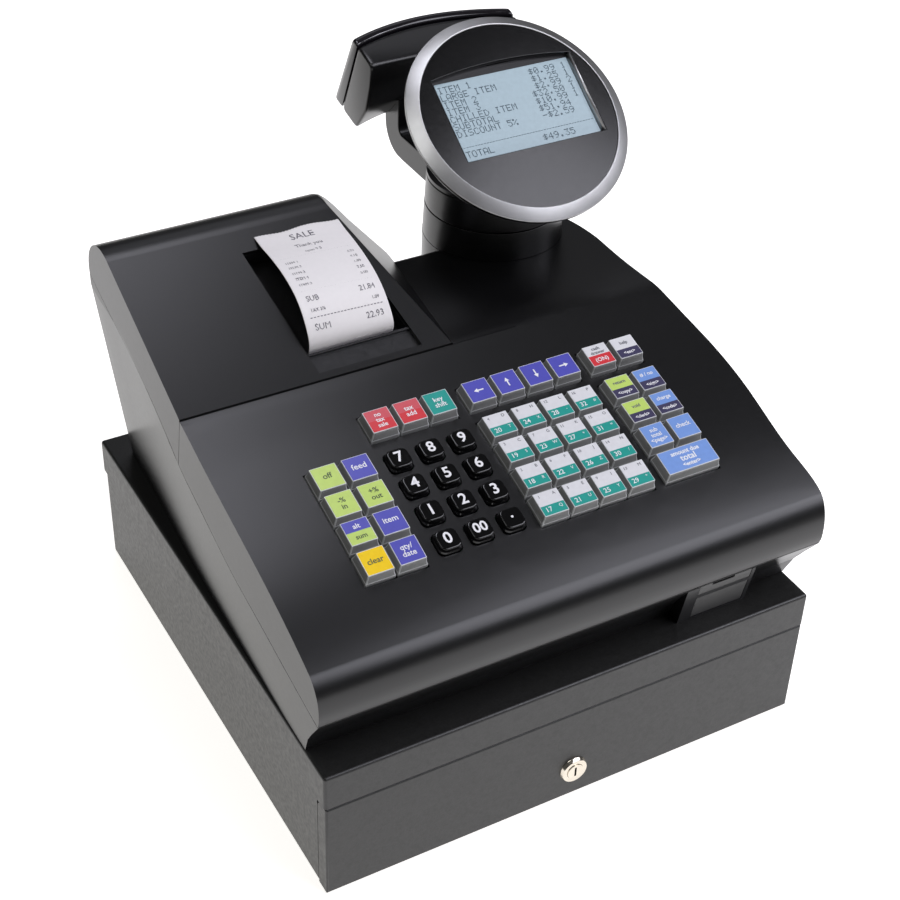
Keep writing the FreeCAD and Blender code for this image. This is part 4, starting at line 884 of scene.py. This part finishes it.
# (how far in from the end, how much smaller the section) for the rounding at each end
POD_ENDS = ((0.0, 2.2), (0.25, 1.2), (0.9, 0.45), (1.9, 0.08))
POD_STRAIGHT = POD_HALF_LENGTH - 4.0
LENS_HEIGHT = 64.0
# one end of the pod as (y, z, how far its middle bows back)
POD_SHELL = ((373.0, 320.5, 1.0), (374.8, 306.0, 3.0), (380.7, 284.0, 9.0), (396.0, 264.0, 16.0),
             (417.2, 269.3, POD_BOW), (392.1, 326.7, POD_BOW))
POD_LENS = ((393.3, 327.2, POD_BOW), (418.4, 269.8, POD_BOW), (428.9, 272.4, POD_BOW),
            (400.2, 329.4, POD_BOW))


def softened(outline, radius):
    """The outline with each corner replaced by a small arc of four points."""
    rounded = []
    count = len(outline)
    for i, corner in enumerate(outline):
        corner = Vector(corner)
        before = Vector(outline[i - 1]) - corner
        after = Vector(outline[(i + 1) % count]) - corner
        reach = min(radius, before.length * 0.4, after.length * 0.4)
        start = corner + before.normalized() * reach
        end = corner + after.normalized() * reach
        for t in (0.0, 0.33, 0.67, 1.0):
            rounded.append(start * (1 - t) ** 2 + corner * (2 * t * (1 - t)) + end * t ** 2)
    return rounded


def bow_at(x):
    """The share of its full bow that the pod has at a distance x from its middle."""
    return 1 - (x / POD_HALF_LENGTH) ** 2


def pod_rings(outline, radius):
    """Sections along the pod, with the last few millimetres at each end rounded over."""
    centre = sum((Vector(point) for point in outline), Vector()) / len(outline)
    rings = []
    places = [(-POD_HALF_LENGTH + dx, inset) for dx, inset in POD_ENDS]
    places += [(POD_STRAIGHT * (2 * i / POD_STEPS - 1), 0.0) for i in range(POD_STEPS + 1)]
    places += [(POD_HALF_LENGTH - dx, inset) for dx, inset in POD_ENDS[::-1]]
    for x, inset in places:
        ring = []
        for point in softened(outline, radius):
            inwards = (centre - point).normalized() * inset
            y, z, sag = point.x + inwards.x, point.y + inwards.y, point.z
            ring.append(at(TOWER_X + x, y + sag * bow_at(x), z))
        rings.append(ring)
    return rings


identity = Matrix.Identity(4)
pod = Piece("pod_shell", MATERIAL["case_black"])
pod.loft(identity, pod_rings(POD_SHELL, 4.0))
pod.finish("customer_display", "case_black", 40.0, replaced=("customer_body",))
lens = Piece("pod_lens", MATERIAL["smoke_lens"])
lens.loft(identity, pod_rings(POD_LENS, 2.4))
lens.finish("customer_display", "smoke_lens", 40.0, replaced=("customer_window",))


def on_lens(point):
    """Bends flat lettering over the lens, read from behind the register."""
    x = -point.x
    low, high = Vector(POD_LENS[2]), Vector(POD_LENS[3])
    y, z, bow = low.lerp(high, 0.5 + point.y / LENS_HEIGHT)
    return at(TOWER_X + x, y + bow * bow_at(x) + 0.05 + point.z, z + 0.02)


digits = Piece("pod_digits", INK_LENS)
digits.bent_letters(on_lens, "0.00", 22.0, 0.1, 0.2)
digits.finish("customer_display", "smoke_lens")

# ---- camera, lights, floor -------------------------------------------------------------------
CAMERA_PLACE = (-451.7, -608.3, 830.7)
CAMERA_RIGHT = Vector((0.87361, -0.48573, 0.02946)).normalized()
CAMERA_UP = Vector((0.27182, 0.53731, 0.79838)).normalized()
camera_data = bpy.data.cameras.new("camera")
camera_data.lens = 70.98
camera_data.sensor_width = 36.0
camera_data.clip_start = 0.05
camera_data.clip_end = 20.0
camera = bpy.data.objects.new("camera", camera_data)
bpy.context.scene.collection.objects.link(camera)
camera_axes = Matrix((CAMERA_RIGHT, CAMERA_UP, CAMERA_RIGHT.cross(CAMERA_UP))).transposed()
camera.matrix_world = Matrix.Translation(at(*CAMERA_PLACE)) @ camera_axes.to_4x4()
bpy.context.scene.camera = camera


LIGHTS_AIM = Vector((0.0, 0.0, 0.15))
WHITE = (1.0, 1.0, 1.0)
COOL = (0.96, 0.96, 1.06)


def softbox(name, place, width, height, radiance, colour):
    """A rectangular studio light, given by how bright its face looks."""
    data = bpy.data.lights.new(name, "AREA")
    data.shape = "RECTANGLE"
    data.size = width
    data.size_y = height
    data.energy = radiance * math.pi * width * height
    data.color = colour
    light = bpy.data.objects.new(name, data)
    bpy.context.scene.collection.objects.link(light)
    light.location = place
    light.rotation_mode = "QUATERNION"
    light.rotation_quaternion = (Vector(place) - LIGHTS_AIM).to_track_quat("Z", "Y")


softbox("overhead_front", (1.15, -1.25, 2.0), 1.7, 1.7, 4.2, COOL)
softbox("overhead_right", (2.15, -0.65, 1.75), 0.6, 0.7, 10.0, COOL)
softbox("overhead_cover", (0.2, 0.66, 2.2), 0.75, 0.75, 4.7, COOL)
softbox("overhead_left", (-0.85, -0.15, 2.1), 0.8, 0.8, 2.8, WHITE)
softbox("overhead_back", (0.95, 1.9, 2.0), 1.2, 0.9, 0.5, COOL)

# dim walls light the register, while the backdrop itself is seen as white
world = bpy.data.worlds.new("world")
world.use_nodes = True
world_nodes = world.node_tree.nodes
studio_walls = world_nodes["Background"]
studio_walls.inputs["Color"].default_value = (1.0, 1.0, 1.0, 1.0)
studio_walls.inputs["Strength"].default_value = 0.08
backdrop = world_nodes.new("ShaderNodeBackground")
backdrop.inputs["Color"].default_value = (1.0, 1.0, 1.0, 1.0)
light_path = world_nodes.new("ShaderNodeLightPath")
either = world_nodes.new("ShaderNodeMixShader")
world.node_tree.links.new(light_path.outputs["Is Camera Ray"], either.inputs["Fac"])
world.node_tree.links.new(studio_walls.outputs["Background"], either.inputs[1])
world.node_tree.links.new(backdrop.outputs["Background"], either.inputs[2])
world.node_tree.links.new(either.outputs["Shader"], world_nodes["World Output"].inputs["Surface"])
bpy.context.scene.world = world
bpy.context.scene.view_settings.view_transform = "Standard"

FLOOR_HALF = 8.0
floor_corners = [(x * FLOOR_HALF, y * FLOOR_HALF, 0.0) for x, y in ((-1, -1), (1, -1), (1, 1), (-1, 1))]
floor_mesh = bpy.data.meshes.new("floor")
floor_mesh.from_pydata(floor_corners, [], [(0, 1, 2, 3)])
floor = bpy.data.objects.new("floor", floor_mesh)
bpy.context.scene.collection.objects.link(floor)
floor_surface = Surface("floor_white", roughness=0.9, specular=0.1)
floor_surface.colour((0.86, 0.86, 0.86, 1.0), 600.0, 0.01)
floor_surface.shader.inputs["Emission Color"].default_value = (1.0, 0.98, 0.94, 1.0)
floor_surface.shader.inputs["Emission Strength"].default_value = 0.85
floor.data.materials.append(floor_surface.material)
